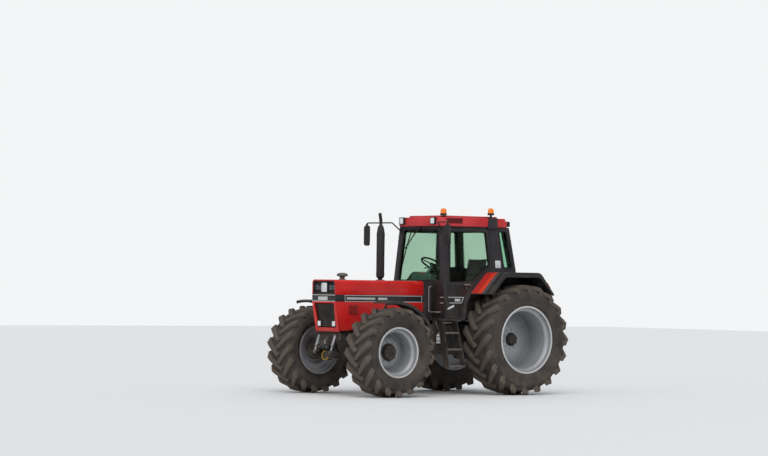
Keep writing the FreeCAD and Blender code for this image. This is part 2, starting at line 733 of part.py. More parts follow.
def fender_line(lift):
    """Top of the rear fender in side view, from its front foot to its tail, lifted by a clearance."""
    g = lift
    return [
        (930 + g, 1225), (900 + g, 1500, 150), (835 + g, 1640 + g / 2, 150), (FENDER_CORNER_X + g / 2, FENDER_TOP_Z + g, 140),
        (FENDER_TAIL_X - g / 2, FENDER_TOP_Z + g, 150), (-600 - g, 1660),
    ]


def cab_side():
    """Left side wall of the cab with the doorway and the rear window's opening, standing on the fender."""
    y0 = CAB_HALF - CAB_WALL
    wall = side_plate([
        (CAB_FRONT_X + 60, CAB_FLOOR_Z - 90), (CAB_FRONT_X + 60, ROOF_Z + 60), (CAB_TAIL_X - 10, ROOF_Z + 60),
        (CAB_REAR_X, 2060), (CAB_REAR_X, CAB_FLOOR_Z - 90),
    ], y0, CAB_HALF)
    doorway = side_plate(door_outline(MOVING_GAP), y0 - 5, CAB_HALF + 5)
    window = side_plate(quarter_outline(0), y0 - 5, CAB_HALF + 5)
    wall = leaned(wall.cut(doorway).cut(window))
    line = fender_line(RUNNING_GAP)
    below = side_plate(line[:-2] + [(-600, FENDER_TOP_Z + RUNNING_GAP), (-600, 1100), (line[0][0], 1100)], 400, 1000)
    kept = side_plate([
        (CAB_FRONT_X, CAB_FLOOR_Z - 30), (CAB_FRONT_X, SCREEN_LOW_Z), (sweep_x(CAB_FRONT_X, ROOF_Z), ROOF_Z - RUNNING_GAP),
        (-600, ROOF_Z - RUNNING_GAP), (-600, CAB_FLOOR_Z - 30),
    ], 400, 1000)
    return wall.common(kept).cut(below)


def screen_half(z):
    """Half width of the windscreen's opening at a height."""
    return CAB_HALF - 173 - 102 * (z - SCREEN_LOW_Z) / 830


def rear_half(z):
    """Half width of the rear window's opening at a height."""
    return CAB_HALF - 130 - 70 * (z - REAR_PANE[0]) / 620


def cab_frame():
    """Cab shell: both side walls, front pillars and cowl, rear wall, roof rails."""
    side = cab_side()
    x = CAB_FRONT_X
    low = SCREEN_LOW_Z
    high = SCREEN_TOP_Z
    upper = box((x - CAB_WALL, x), (-800, 800), (low, ROOF_Z + 60)).cut(front_plate([
        (screen_half(high), high), (screen_half(low), low), (-screen_half(low), low), (-screen_half(high), high),
    ], x - 100, x + 50))
    cowl = box((x - CAB_WALL, x), (-800, 800), (CAB_FLOOR_Z - 30, low))
    front = within_sides(fuse([swept(upper), cowl]))
    doorway = leaned(side_plate(door_outline(MOVING_GAP), CAB_HALF - CAB_WALL - 5, CAB_HALF + 5))
    front = front.cut(doorway).cut(mirrored(doorway))
    neck = box((x - 5, HOOD_REAR_X - RUNNING_GAP), (-HOOD_HALF + 8, HOOD_HALF - 8), (1170, HOOD_TOP_Z - 12))
    rear = within_sides(side_plate([
        (CAB_TAIL_X, ROOF_Z), (CAB_REAR_X, 2060), (CAB_REAR_X, 1420), (CAB_REAR_X + 45, 1420), (CAB_REAR_X + 45, 2056),
        (CAB_TAIL_X + 43, ROOF_Z),
    ], -900, 900))
    rear = rear.cut(front_plate([
        (rear_half(REAR_PANE[1]), REAR_PANE[1]), (rear_half(REAR_PANE[0]), REAR_PANE[0]),
        (-rear_half(REAR_PANE[0]), REAR_PANE[0]), (-rear_half(REAR_PANE[1]), REAR_PANE[1]),
    ], -400, 300))
    house = box((-400, 300), (WHEELHOUSE_Y - RUNNING_GAP, 1000), (1300, FENDER_TOP_Z + RUNNING_GAP))
    rear = rear.cut(house).cut(mirrored(house))
    hinges = hinge_brackets()
    return fuse([side, mirrored(side), front, neck, rear] + hinges + [mirrored(piece) for piece in hinges])


def cab_glass():
    """Windscreen, rear window and both rear quarter panes."""
    g = RUNNING_GAP
    high = SCREEN_TOP_Z - g
    x = CAB_FRONT_X - 30
    low = SCREEN_LOW_Z + g + 30 * math.sin(math.radians(SCREEN_LEAN))
    screen = swept(front_plate([
        (g - screen_half(high), high), (g - screen_half(low), low), (screen_half(low) - g, low),
        (screen_half(high) - g, high),
    ], x, x + GLASS))
    lean = (CAB_TAIL_X - CAB_REAR_X) / (ROOF_Z - 2060)

    def wall_x(z):
        return CAB_REAR_X + 20 + lean * (z - 2060)

    z0 = REAR_PANE[0] + g
    z1 = REAR_PANE[1] - g
    back = side_plate([
        (wall_x(z0), z0), (wall_x(z1), z1), (wall_x(z1) + GLASS, z1), (wall_x(z0) + GLASS, z0),
    ], -900, 900).common(front_plate([
        (rear_half(z1 + 5) - g, z1 + 5), (rear_half(z0 - 5) - g, z0 - 5), (g - rear_half(z0 - 5), z0 - 5),
        (g - rear_half(z1 + 5), z1 + 5),
    ], -400, 300))
    y = CAB_HALF - CAB_WALL / 2
    quarter = leaned(side_plate(quarter_outline(-g), y - 4, y + 4))
    return Part.makeCompound([screen, back, quarter, mirrored(quarter)])


def cab_floor():
    """Platform, wide at the doors and narrower between the wheelhouses, with the step under the seat."""
    narrow = WHEELHOUSE_Y - RUNNING_GAP
    end = CAB_FRONT_X - CAB_WALL - 0.5
    skin = CAB_WALL * 1.009 + 0.5
    near = side_y(935, CAB_FLOOR_Z) - skin
    far = side_y(end, CAB_FLOOR_Z) - skin
    front = top_plate([(935, -near), (935, near), (end, far), (end, -far)], CAB_FLOOR_Z - 30, CAB_FLOOR_Z)
    rear = side_plate([
        (940, CAB_FLOOR_Z - 30), (940, CAB_FLOOR_Z), (420, CAB_FLOOR_Z), (-149, 1419.5), (-149, 1389.5),
        (400, CAB_FLOOR_Z - 30),
    ], -narrow, narrow)
    step = box((190, 660), (-330, 330), (1225, SEAT_Z))
    parts = [front, rear, step]
    for x, foot in ((210, 1190), (1000, 1136)):
        for y in (-160, 160):
            parts.append(Part.makeCylinder(45, 1230 - foot - RUNNING_GAP, V(x, y, foot + RUNNING_GAP)))
    return fuse(parts)


def roof_plan(inset):
    """Roof's outline in plan: narrow and chamfered ahead, wider behind."""
    head = CAB_HALF - 215 - inset
    brow = CAB_HALF - 115 - inset
    tail = CAB_HALF - 35 - inset
    x0 = ROOF_REAR_X + inset
    x1 = ROOF_FRONT_X - inset
    return [
        (x0, -tail, 40), (x0, tail, 40), (x1 - 95, brow, 50), (x1, head, 40), (x1, -head, 40), (x1 - 95, -brow, 50),
    ]


def roof():
    """Moulded roof with its eaves all round and a raised middle."""
    shoulder = ROOF_Z + ROOF_H - 12
    return fuse([
        top_plate(roof_plan(0), ROOF_Z, shoulder - 40), top_plate(roof_plan(22), shoulder - 45, shoulder),
        top_plate(roof_plan(120), shoulder - 5, shoulder + 30),
    ])


def seat_base():
    """Suspension box under the seat, with the plate that carries the backrest."""
    z = SEAT_Z + RUNNING_GAP
    plate = side_plate([
        (206, 1560), (70, 1620, 30), (-14, 2150), (6, 2150), (88, 1640, 20), (206, 1590),
    ], -120, 120)
    return fuse([box((230, 620), (-190, 190), (z, 1560)), box((200, 640), (-210, 210), (1558, 1590)), plate])


def seat_cushions():
    """Cushion and backrest."""
    cushion = side_plate([
        (190, 1592.5, 20), (190, 1690, 30), (660, 1710, 40), (690, 1650, 30), (660, 1592.5, 20),
    ], -240, 240)
    cushion.translate(V(12, 0, -2.2))
    back = side_plate([(77, 1712, 15), (-5, 2230, 35), (88, 2250, 40), (171, 1725, 25)], -230, 230)
    return Part.makeCompound([cushion, back])


def dashboard():
    """Console in front of the driver with its cluster hood."""
    front = CAB_FRONT_X - CAB_WALL - 0.5
    return side_plate([
        (front, CAB_FLOOR_Z + 0.3), (1090, CAB_FLOOR_Z + 0.3, 40), (1120, 1820, 60), (1175, 1960, 40),
        (front - 22, 1990, 30), (front - 8, 1940), (front, SCREEN_LOW_Z - 10),
    ], -250, 250)


def steering_wheel():
    """Wheel, three spokes and column leaning towards the driver."""
    ring = turned([(186, -6), (194, -14), (206, -14), (214, -6), (214, 6), (206, 14), (194, 14), (186, 6)], (0, 0, 0))
    parts = [ring, Part.makeCylinder(45, 30, V(0, 0, -20)), Part.makeCylinder(28, 325, V(0, 0, -330))]
    for angle in (90, 210, 330):
        a = math.radians(angle)
        parts.append(rod((0, 0, -6), (200 * math.cos(a), 200 * math.sin(a), 0), 9))
    wheel = fuse(parts)
    wheel.rotate(V(0, 0, 0), Y_AXIS, -32)
    wheel.translate(V(1030, 0, 2140))
    return wheel


# Outside of the cab

LADDER = (1570.0, 1435.0, 1290.0, 1080.0)
LADDER_TOP = CAB_FLOOR_Z - 8.0
HANDRAIL_Y = 350.0


def rear_fender():
    """Left rear fender: sloped front, flat top, falling tail, with a lip at its outer edge."""
    z = FENDER_TOP_Z
    t = FENDER_T
    inner = [
        (-600 + t * 1.1, 1660 - t * 0.45), (FENDER_TAIL_X + t * 0.45, z - t, 122), (FENDER_CORNER_X - t * 0.42, z - t, 112),
        (835 - t * 0.9, 1640 - t * 0.5, 122), (900 - t, 1500 - t * 0.2, 122), (930 - t, 1225),
    ]
    plate = side_plate(fender_line(0) + inner, WHEELHOUSE_Y, FENDER_OUT_Y)
    lip_in = [(-585, 1642), (-285, z - 80, 110), (470, z - 80, 100), (776, 1612, 100), (845, 1450, 100), (870, 1225)]
    lip = side_plate(fender_line(0) + lip_in, FENDER_OUT_Y - 22, FENDER_OUT_Y)
    house = side_plate([
        (930, 1225), (900, 1500, 150), (835, 1640, 150), (FENDER_CORNER_X, z, 140), (CAB_REAR_X, z), (CAB_REAR_X, 1420),
        (400, 1225),
    ], WHEELHOUSE_Y, WHEELHOUSE_Y + WHEELHOUSE_T)
    foot = box((FENDER_CORNER_X + 100, 1100), (FENDER_FOOT_Y, FENDER_OUT_Y + 50), (1100, 1654))
    return fuse([plate.cut(foot), lip.cut(foot), house])


def front_fender():
    """Left front fender: an arc over the tyre with a lip at its outer edge."""
    x = WHEELBASE
    z = FRONT_TYRE_R
    r_in = FRONT_FENDER_R
    r_out = r_in + 15
    y0 = 830.0
    y1 = FENDER_OUT_Y
    ring = spun([(y0, r_in), (y1, r_in), (y1, r_out), (y0, r_out)], (x, 0, z))
    lip = spun([(y1 - 14, r_in - 34), (y1, r_in - 34), (y1, r_out), (y1 - 14, r_out)], (x, 0, z))
    span = []
    for angle in (76, 100, 125, 142, 158):
        a = math.radians(angle)
        span.append((x + 1200 * math.cos(a), z + 1200 * math.sin(a)))
    wedge = side_plate([(x, z)] + span, 700, 1300)
    return fuse([ring, lip]).common(wedge)


def ladder():
    """Left entry ladder: two cheeks and three treads hung from the platform at the door."""
    y0 = CAB_HALF + 95
    y1 = y0 + 130
    front_top, front_foot, rear_top, rear_foot = LADDER
    parts = []
    for top, foot in ((front_top, front_foot), (rear_top, rear_foot)):
        parts.append(side_plate([(top - 9, LADDER_TOP), (top + 9, LADDER_TOP), (foot + 9, 455), (foot - 9, 455)], y0, y1))
    for z in (475, 750, 1020):
        share = (LADDER_TOP - z) / (LADDER_TOP - 455)
        front = front_top + (front_foot - front_top) * share
        rear = rear_top + (rear_foot - rear_top) * share
        parts.append(box((rear, front), (y0, y1 - 4), (z - 12, z + 12)))
    parts.append(box((rear_top - 9, front_top + 9), (CAB_HALF + 12, y1), (LADDER_TOP - 21, LADDER_TOP)))
    low = CAB_FLOOR_Z - 30 - RUNNING_GAP
    parts.append(box((rear_top - 40, CAB_FRONT_X - 5), (CAB_HALF - 160, y1 - 30), (low - 26, low)))
    parts.append(box((rear_top - 5, CAB_FRONT_X - 5), (CAB_HALF + 12, y1 - 30), (low - 26, LADDER_TOP - 10)))
    return fuse(parts)


def fuel_tank():
    """Moulded tank on the left between platform and ladder."""
    tank = side_plate([(960, 720, 60), (960, 1150, 40), (1780, 1150, 40), (1780, 720, 60)], 290, 600)
    return fuse([tank] + side_brackets(1))


def side_brackets(side):
    """Two brackets that carry a box on the gearbox's side."""
    near = side * (225 + RUNNING_GAP)
    far = side * 295
    return [box((x, x + 60), sorted((near, far)), (880, 960)) for x in (1110, 1260)]


def battery_box():
    """Box on the right in the tank's place."""
    case = side_plate([(980, 760, 30), (980, 1150, 20), (1700, 1150, 20), (1700, 760, 30)], -600, -290)
    return fuse([case] + side_brackets(-1))


def handrail():
    """Left grab rail on the cowl."""
    wall = CAB_FRONT_X + RUNNING_GAP
    y0 = HANDRAIL_Y
    y1 = HANDRAIL_Y + 235
    return bent_tube([
        (wall, y0, 1768), (wall + 60, y0, 1768), (wall + 60, y0, 1352), (wall + 60, y1, 1352), (wall, y1, 1352),
    ], 28, 13)


def mirror(x, y):
    """Left mirror head at a place in plan, on its bent arm."""
    wall = CAB_FRONT_X + RUNNING_GAP
    root = CAB_HALF - 195
    foot = swept(box((wall, wall + 16), (root - 25, root + 25), (2645, 2735)))
    head = box((x - 17, x + 17), (y - 70, y + 70), (2440, 2785))
    arm = bent_tube([
        (sweep_x(wall, 2690) + 8, root, 2690), (wall + 90, root + 80, 2825), (x, y, 2825), (x, y, 2600),
    ], 28, 11)
    return fuse([foot, head, arm])


def mirrors():
    """Left and right mirrors, the right one reaching out further."""
    return Part.makeCompound([
        mirror(CAB_FRONT_X + 137, CAB_HALF + 180), mirrored(mirror(CAB_FRONT_X + 181, CAB_HALF + 450)),
    ])


def beacons():
    """Pair of turning lamps on the left of the roof, the rear one on a stalk."""
    top = ROOF_Z + ROOF_H - 12 + RUNNING_GAP
    dome = [(56, 0), (56, 30), (50, 34), (48, 86), (34, 112), (0, 120)]
    lamps = []
    for x, y, lift, stalk in ((1200, 470, 30, 0), (298, 612, 0, 52)):
        foot = [(0, 0), (18, 0), (18, stalk)] if stalk else [(0, 0)]
        lamps.append(turned(foot + [(r, z + stalk) for r, z in dome], (x, y, top + lift)))
    return Part.makeCompound(lamps)


def work_lamps():
    """Four square lamps at the roof's corners, two ahead and two behind."""
    lamps = []
    for side in (-1, 1):
        y = side * (CAB_HALF - 315)
        lamps.append(box((ROOF_FRONT_X + RUNNING_GAP, ROOF_FRONT_X + 41), (y - 62, y + 62), (2796, 2868)))
        y = side * (CAB_HALF - 110)
        lamps.append(box((ROOF_REAR_X - 55, ROOF_REAR_X - RUNNING_GAP), (y - 60, y + 60), (2780, 2868)))
    return Part.makeCompound(lamps)


# Rear linkage

TOP_PIN = (-375.0, 930.0)
TOP_LINK_ANGLE = 30.0
TOP_LINK_LENGTH = 600.0


def drawbar():
    """Pick-up drawbar under the rear housing with its clevis."""
    bar = box((-760, 240), (-38, 38), (425, 465))
    lower = box((-760, -600), (-38, 38), (330, 355))
    web = box((-640, -600), (-38, 38), (340, 430))
    hanger = box((-240, -180), (-90, 90), (400, 560 - RUNNING_GAP))
    front = box((150, 230), (-60, 60), (400, 560 - RUNNING_GAP))
    solid = fuse([bar, lower, web, hanger, front])
    return solid.cut(rod((-715, 0, 300), (-715, 0, 500), 16.5))


def lower_links():
    """Both lower links with ball ends, carried on the front balls' pin."""
    fx, fz = LINK_FRONT
    links = []
    for side in (-1, 1):
        y = side * LINK_Y
        bar = side_plate([(fx - 20, fz - 32), (fx + 20, fz - 32, 15), (fx + 45, fz, 15), (fx + 20, fz + 32, 15),
                          (fx - 20, fz + 32), (fx - LINK_REACH + 20, fz + 26), (fx - LINK_REACH - 44, fz, 20),
                          (fx - LINK_REACH + 20, fz - 26)], y - 16, y + 16)
        ball = rod((fx - LINK_REACH, y - 26, fz), (fx - LINK_REACH, y + 26, fz), 38)
        eye = rod((fx, y - 24, fz), (fx, y + 24, fz), 38)
        bar = fuse([bar, ball, eye])
        bar = bar.cut(rod((fx - LINK_REACH, y - 40, fz), (fx - LINK_REACH, y + 40, fz), 18.7))
        bar = bar.cut(rod((fx, y - 40, fz), (fx, y + 40, fz), 19 + PIN_GAP))
        pin = rod((fx - LINK_ARM, y + side * 10, fz), (fx - LINK_ARM, side * (LIFT_ROD_Y + 16), fz), LIFT_PIN_R)
        links.append(fuse([bar, pin]))
    return Part.makeCompound(links)


def link_carrier():
    """Cross pin and lugs under the rear housing for the lower links' front eyes."""
    fx, fz = LINK_FRONT
    pin = rod((fx, -480, fz), (fx, 480, fz), 19)
    lugs = [box((fx - 50, fx + 50), (y - 25, y + 25), (fz - 40, 575)) for y in (-240, 240)]
    return fuse([pin] + lugs)


def lift_arms():
    """Rocker shaft with both lift arms."""
    sx, sz = LIFT_SHAFT
    shaft = rod((sx, -LIFT_ARM_Y, sz), (sx, LIFT_ARM_Y, sz), 32)
    arms = [shaft]
    for side in (-1, 1):
        y = side * LIFT_ARM_Y
        arms.append(side_plate([
            (sx + 50, sz - 48, 40), (sx + 50, sz + 48, 40), (sx - LINK_ARM - 28, sz + 28, 25),
            (sx - LINK_ARM - 28, sz - 28, 25),
        ], y - 18, y + 18))
        arms.append(rod((sx - LINK_ARM, y, sz), (sx - LINK_ARM, side * (LIFT_ROD_Y + 16), sz), LIFT_PIN_R))
    return fuse(arms)


def lift_rods():
    """Both upright lift rods between arms and links."""
    rods = []
    for side in (-1, 1):
        y = side * LIFT_ROD_Y
        low = V(LINK_FRONT[0] - LINK_ARM, y, LINK_FRONT[1])
        high = V(LIFT_SHAFT[0] - LINK_ARM, y, LIFT_SHAFT[1])
        along = high - low
        piece = fuse([
            rod(low - Y_AXIS * 14, low + Y_AXIS * 14, 30), rod(high - Y_AXIS * 14, high + Y_AXIS * 14, 30),
            rod(low + along * 0.03, high - along * 0.03, 17), rod(low + along * 0.35, low + along * 0.65, 24),
        ])
        for centre in (low, high):
            piece = piece.cut(rod(centre - Y_AXIS * 30, centre + Y_AXIS * 30, LIFT_PIN_R + PIN_GAP))
        rods.append(piece)
    return Part.makeCompound(rods)


def top_link():
    """Top link stowed on its bracket behind the housing, leaning back onto a hook."""
    face = -330 - RUNNING_GAP
    px, pz = TOP_PIN
    bracket = [box((px - 25, face), (y, y + 30), (860, 1000)) for y in (-60, 30)]
    pin = rod((px, -62, pz), (px, 62, pz), 12)
    a = math.radians(TOP_LINK_ANGLE)
    way = V(-math.cos(a), 0, math.sin(a))
    start = V(px, 0, pz)
    ball = start + way * TOP_LINK_LENGTH
    link = fuse([
        rod(start - Y_AXIS * 22, start + Y_AXIS * 22, 30), rod(start + way * 20, ball - way * 20, 19),
        rod(start + way * 150, start + way * 430, 28), rod(ball - Y_AXIS * 25, ball + Y_AXIS * 25, 34),
    ])
    link = link.cut(rod(ball - Y_AXIS * 40, ball + Y_AXIS * 40, 16.0))
    stay_at = start + way * 60
    stay = side_plate([
        (px - 20, 985), (px + 20, 985), (stay_at.x + 25, stay_at.z + 8), (stay_at.x - 45, stay_at.z + 8),
    ], -12, 12)
    return fuse(bracket + [pin, link, stay])


def save(name, shape):
    """Move a node to the export origin and write it."""
    piece = shape.copy()
    piece.translate(V(-ORIGIN_X, 0, 0))
    assert piece.isValid(), name
    piece.exportStep("parts/" + name + ".step")


def main():
    """Build every node."""
    os.makedirs("parts", exist_ok=True)
    save("engine_block", box((ENGINE_REAR_X, ENGINE_FRONT_X), (-ENGINE_HALF, ENGINE_HALF), (ENGINE_Z, ENGINE_TOP_Z)))
    save("transmission", fuse([transmission(), link_carrier()]))
    save("rear_axle", rear_axle())
    save("front_support", front_support())
    save("front_axle", front_axle())
    save("drive_shaft", drive_shaft())
    save("hood_top", hood_top())
    save("hood_band", hood_band())
    save("side_panels", both_sides(side_panel()))
    save("front_frame", front_frame())
    save("front_grilles", front_grilles())
    save("exhaust", exhaust())
    save("air_intake", air_intake())
    save("front_linkage", front_linkage())
    save("front_lift_arms", front_lift_arms())
    barrels, rods = zip(*[lift_cylinder(side) for side in (-1, 1)])
    save("front_lift_barrels", Part.makeCompound(list(barrels)))
    save("front_lift_rods", Part.makeCompound(list(rods)))
    save("cab_frame", cab_frame())
    save("cab_floor", cab_floor())
    save("roof", roof())
    save("cab_glass", cab_glass())
    save("seat_base", seat_base())
    save("seat_cushions", seat_cushions())
    save("dashboard", dashboard())
    save("steering_wheel", steering_wheel().cut(dashboard()))
    save("door_left", door())
    save("door_right", mirrored(door()))
    save("door_left_glass", door_glass())
    save("door_right_glass", mirrored(door_glass()))
    save("rear_fender_left", rear_fender())
    save("rear_fender_right", mirrored(rear_fender()))
    save("ladders", both_sides(ladder()))
    save("fuel_tank", fuel_tank())
    save("battery_box", battery_box())
    save("handrails", both_sides(handrail()))
    save("mirrors", mirrors())
    save("beacons", beacons())
    save("work_lamps", work_lamps())
    save("drawbar", drawbar())
    save("lower_links", lower_links())
    save("lift_arms", lift_arms())
    save("lift_rods", lift_rods())
    save("top_link", top_link())
    for side, name in ((1, "left"), (-1, "right")):
        rear = (0, REAR_WHEEL_Y, REAR_TYRE_R)
        front = (WHEELBASE, FRONT_WHEEL_Y, FRONT_TYRE_R)
        pieces = {
            "knuckle_" + name: knuckle(),
            "front_fender_" + name: front_fender(),
            "rear_tyre_" + name: tyre(rear, REAR_TYRE_R, REAR_TYRE_W, REAR_RIM_R, REAR_RIM_W, REAR_LUGS, 52),
            "rear_rim_" + name: rim(rear, REAR_RIM_R, REAR_RIM_W, REAR_DISC_INSET, 100, -55, REAR_HUB_IN),
            "front_tyre_" + name: tyre(front, FRONT_TYRE_R, FRONT_TYRE_W, FRONT_RIM_R, FRONT_RIM_W, FRONT_LUGS, 46),
            "front_rim_" + name: rim(front, FRONT_RIM_R, FRONT_RIM_W, FRONT_DISC_INSET, 130, 20, FRONT_HUB_IN),
        }
        for node, shape in pieces.items():
            save(node, shape if side > 0 else mirrored(shape))
    save("track_rod", track_rod())


main()
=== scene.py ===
import json
import logging
import math
from dataclasses import dataclass
from enum import Enum
from functools import cache

import bmesh
import bpy
from mathutils import Matrix, Vector

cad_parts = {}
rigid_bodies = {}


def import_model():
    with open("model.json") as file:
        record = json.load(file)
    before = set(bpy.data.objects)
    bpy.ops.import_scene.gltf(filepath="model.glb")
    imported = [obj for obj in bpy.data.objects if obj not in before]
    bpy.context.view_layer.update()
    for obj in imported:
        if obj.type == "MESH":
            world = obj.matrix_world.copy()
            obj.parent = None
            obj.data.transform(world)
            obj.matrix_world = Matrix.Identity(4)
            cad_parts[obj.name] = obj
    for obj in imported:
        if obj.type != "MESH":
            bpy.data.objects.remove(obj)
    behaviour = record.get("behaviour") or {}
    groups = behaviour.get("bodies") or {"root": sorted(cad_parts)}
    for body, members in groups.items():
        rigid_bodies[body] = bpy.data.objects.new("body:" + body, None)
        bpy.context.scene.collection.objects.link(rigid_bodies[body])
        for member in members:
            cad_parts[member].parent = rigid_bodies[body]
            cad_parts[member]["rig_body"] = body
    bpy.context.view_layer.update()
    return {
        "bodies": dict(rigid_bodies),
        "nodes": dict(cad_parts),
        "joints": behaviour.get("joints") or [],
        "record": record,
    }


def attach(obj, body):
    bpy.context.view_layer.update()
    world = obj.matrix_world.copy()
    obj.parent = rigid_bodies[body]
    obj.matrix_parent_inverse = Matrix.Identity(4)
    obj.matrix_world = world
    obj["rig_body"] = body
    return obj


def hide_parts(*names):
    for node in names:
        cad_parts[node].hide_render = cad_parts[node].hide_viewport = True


# Looks of a farm tractor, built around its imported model. The model's frame is in metres, +X forward
# and +Y to the left. Layout places are in millimetres, with X ahead of the rear axle and Z above
# the ground.

LOG = logging.getLogger("tractor")
REAR_AXLE_X = 1.206
SHARP_ANGLE = 34.0
ROUGH_DRIFT = 0.12
COAT_ROUGH = 0.12
DUST_ROUGH = 0.92
WEAVE_COLOR = (0.16, 0.16, 0.18, 1.0)
BOX_FACES = [[0, 1, 3, 2], [4, 6, 7, 5], [0, 4, 5, 1], [2, 3, 7, 6], [0, 2, 6, 4], [1, 5, 7, 3]]

Point = tuple[float, float, float]
Span = tuple[float, float]
Profile = list[tuple[float, float]]


def at(x: float, y: float, z: float) -> Vector:
    """A layout place in the model's frame.

    Args:
        x: millimetres ahead of the rear axle.
        y: millimetres to the left.
        z: millimetres above the ground.

    Returns:
        The place in metres.
    """
    return Vector((x / 1000 - REAR_AXLE_X, y / 1000, z / 1000))


# Node trees

def feed(tree: bpy.types.NodeTree, target: bpy.types.Node, sockets: dict) -> None:
    """Sets or links a node's inputs.

    Args:
        tree: the node's tree.
        target: the node.
        sockets: for each input a value, an output socket, or a node whose first output feeds it.
    """
    for label, value in sockets.items():
        if isinstance(value, bpy.types.Node):
            value = value.outputs[0]
        if isinstance(value, bpy.types.NodeSocket):
            tree.links.new(value, target.inputs[label])
        else:
            target.inputs[label].default_value = value


def node(tree: bpy.types.NodeTree, kind: str, sockets: dict | None = None, **settings) -> bpy.types.Node:
    """Adds a node to a tree.

    Args:
        tree: the tree.
        kind: the node's type.
        sockets: what feeds its inputs, as for feed().
        **settings: the node's own settings, which are set first.

    Returns:
        The new node.
    """
    made = tree.nodes.new(kind)
    for label, value in settings.items():
        setattr(made, label, value)
    feed(tree, made, sockets or {})
    return made


def found(tree: bpy.types.NodeTree, kind: str) -> bpy.types.Node:
    """The first node of a type in a tree.

    Args:
        tree: the tree.
        kind: the node's type.

    Returns:
        The node.
    """
    return next(n for n in tree.nodes if n.type == kind)


def group(name: str, kind: str, inputs: dict[str, str], outputs: dict[str, str]) -> tuple:
    """Makes an empty node group with named sockets.

    Args:
        name: the group's name.
        kind: the tree's type.
        inputs: socket names and types.
        outputs: socket names and types.

    Returns:
        The tree, its input sockets and its output node.
    """
    tree = bpy.data.node_groups.new(name, kind)
    for way, rows in (("INPUT", inputs), ("OUTPUT", outputs)):
        for label, socket in rows.items():
            tree.interface.new_socket(label, in_out=way, socket_type="NodeSocket" + socket)
    return tree, tree.nodes.new("NodeGroupInput").outputs, tree.nodes.new("NodeGroupOutput")


@cache
def dust_group() -> bpy.types.ShaderNodeTree:
    """Field dust that is thick near the ground and thin higher up, in patches.

    Returns:
        A group with inputs Position, High, Amount and Patch Size, and output Mask.
    """
    tree, given, sink = group(
        "field_dust", "ShaderNodeTree",
        {"Position": "Vector", "High": "Float", "Amount": "Float", "Patch Size": "Float"},
        {"Mask": "Float"},
    )
    height = node(tree, "ShaderNodeSeparateXYZ", {0: given["Position"]}).outputs["Z"]
    fall = node(tree, "ShaderNodeMapRange", {
        "Value": height, "From Min": 0.2, "From Max": given["High"], "To Min": 1.0, "To Max": 0.12,
    })
    patches = node(tree, "ShaderNodeTexNoise", {
        "Vector": given["Position"], "Scale": given["Patch Size"], "Detail": 6.0, "Roughness": 0.62,
    })
    sharp = node(tree, "ShaderNodeMapRange", {"Value": patches, "From Min": 0.33, "From Max": 0.72})
    both = node(tree, "ShaderNodeMath", {0: fall, 1: sharp}, operation="MULTIPLY")
    scaled = node(tree, "ShaderNodeMath", {0: both, 1: given["Amount"]}, operation="MULTIPLY",
                  use_clamp=True)
    feed(tree, sink, {"Mask": scaled})
    return tree


@cache
def grain_group() -> bpy.types.ShaderNodeTree:
    """Fine relief from two sizes of noise.

    Returns:
        A group with inputs Position, Scale and Coarse, and output Height.
    """
    tree, given, sink = group("surface_grain", "ShaderNodeTree",
                              {"Position": "Vector", "Scale": "Float", "Coarse": "Float"},
                              {"Height": "Float"})
    fine = node(tree, "ShaderNodeTexNoise",
                {"Vector": given["Position"], "Scale": given["Scale"], "Detail": 4.0})
    wide = node(tree, "ShaderNodeTexNoise", {"Vector": given["Position"], "Scale": 14.0})
    mix = node(tree, "ShaderNodeMix", {"Factor": given["Coarse"], "A": fine, "B": wide}, data_type="FLOAT")
    feed(tree, sink, {"Height": mix.outputs["Result"]})
    return tree


@cache
def drift_group() -> bpy.types.ShaderNodeTree:
    """Slow change from one colour to another over a panel.

    Returns:
        A group with inputs Position, Scale, First and Second, and outputs Color and Mask.
    """
    tree, given, sink = group(
        "tone_drift", "ShaderNodeTree",
        {"Position": "Vector", "Scale": "Float", "First": "Color", "Second": "Color"},
        {"Color": "Color", "Mask": "Float"},
    )
    noise = node(tree, "ShaderNodeTexNoise",
                 {"Vector": given["Position"], "Scale": given["Scale"], "Detail": 5.0})
    spread = node(tree, "ShaderNodeMapRange", {"Value": noise, "From Min": 0.35, "From Max": 0.65})
    mix = node(tree, "ShaderNodeMix", {"Factor": spread, "A": given["First"], "B": given["Second"]},
               data_type="RGBA")
    feed(tree, sink, {"Color": mix.outputs["Result"], "Mask": spread})
    return tree


# Finishes

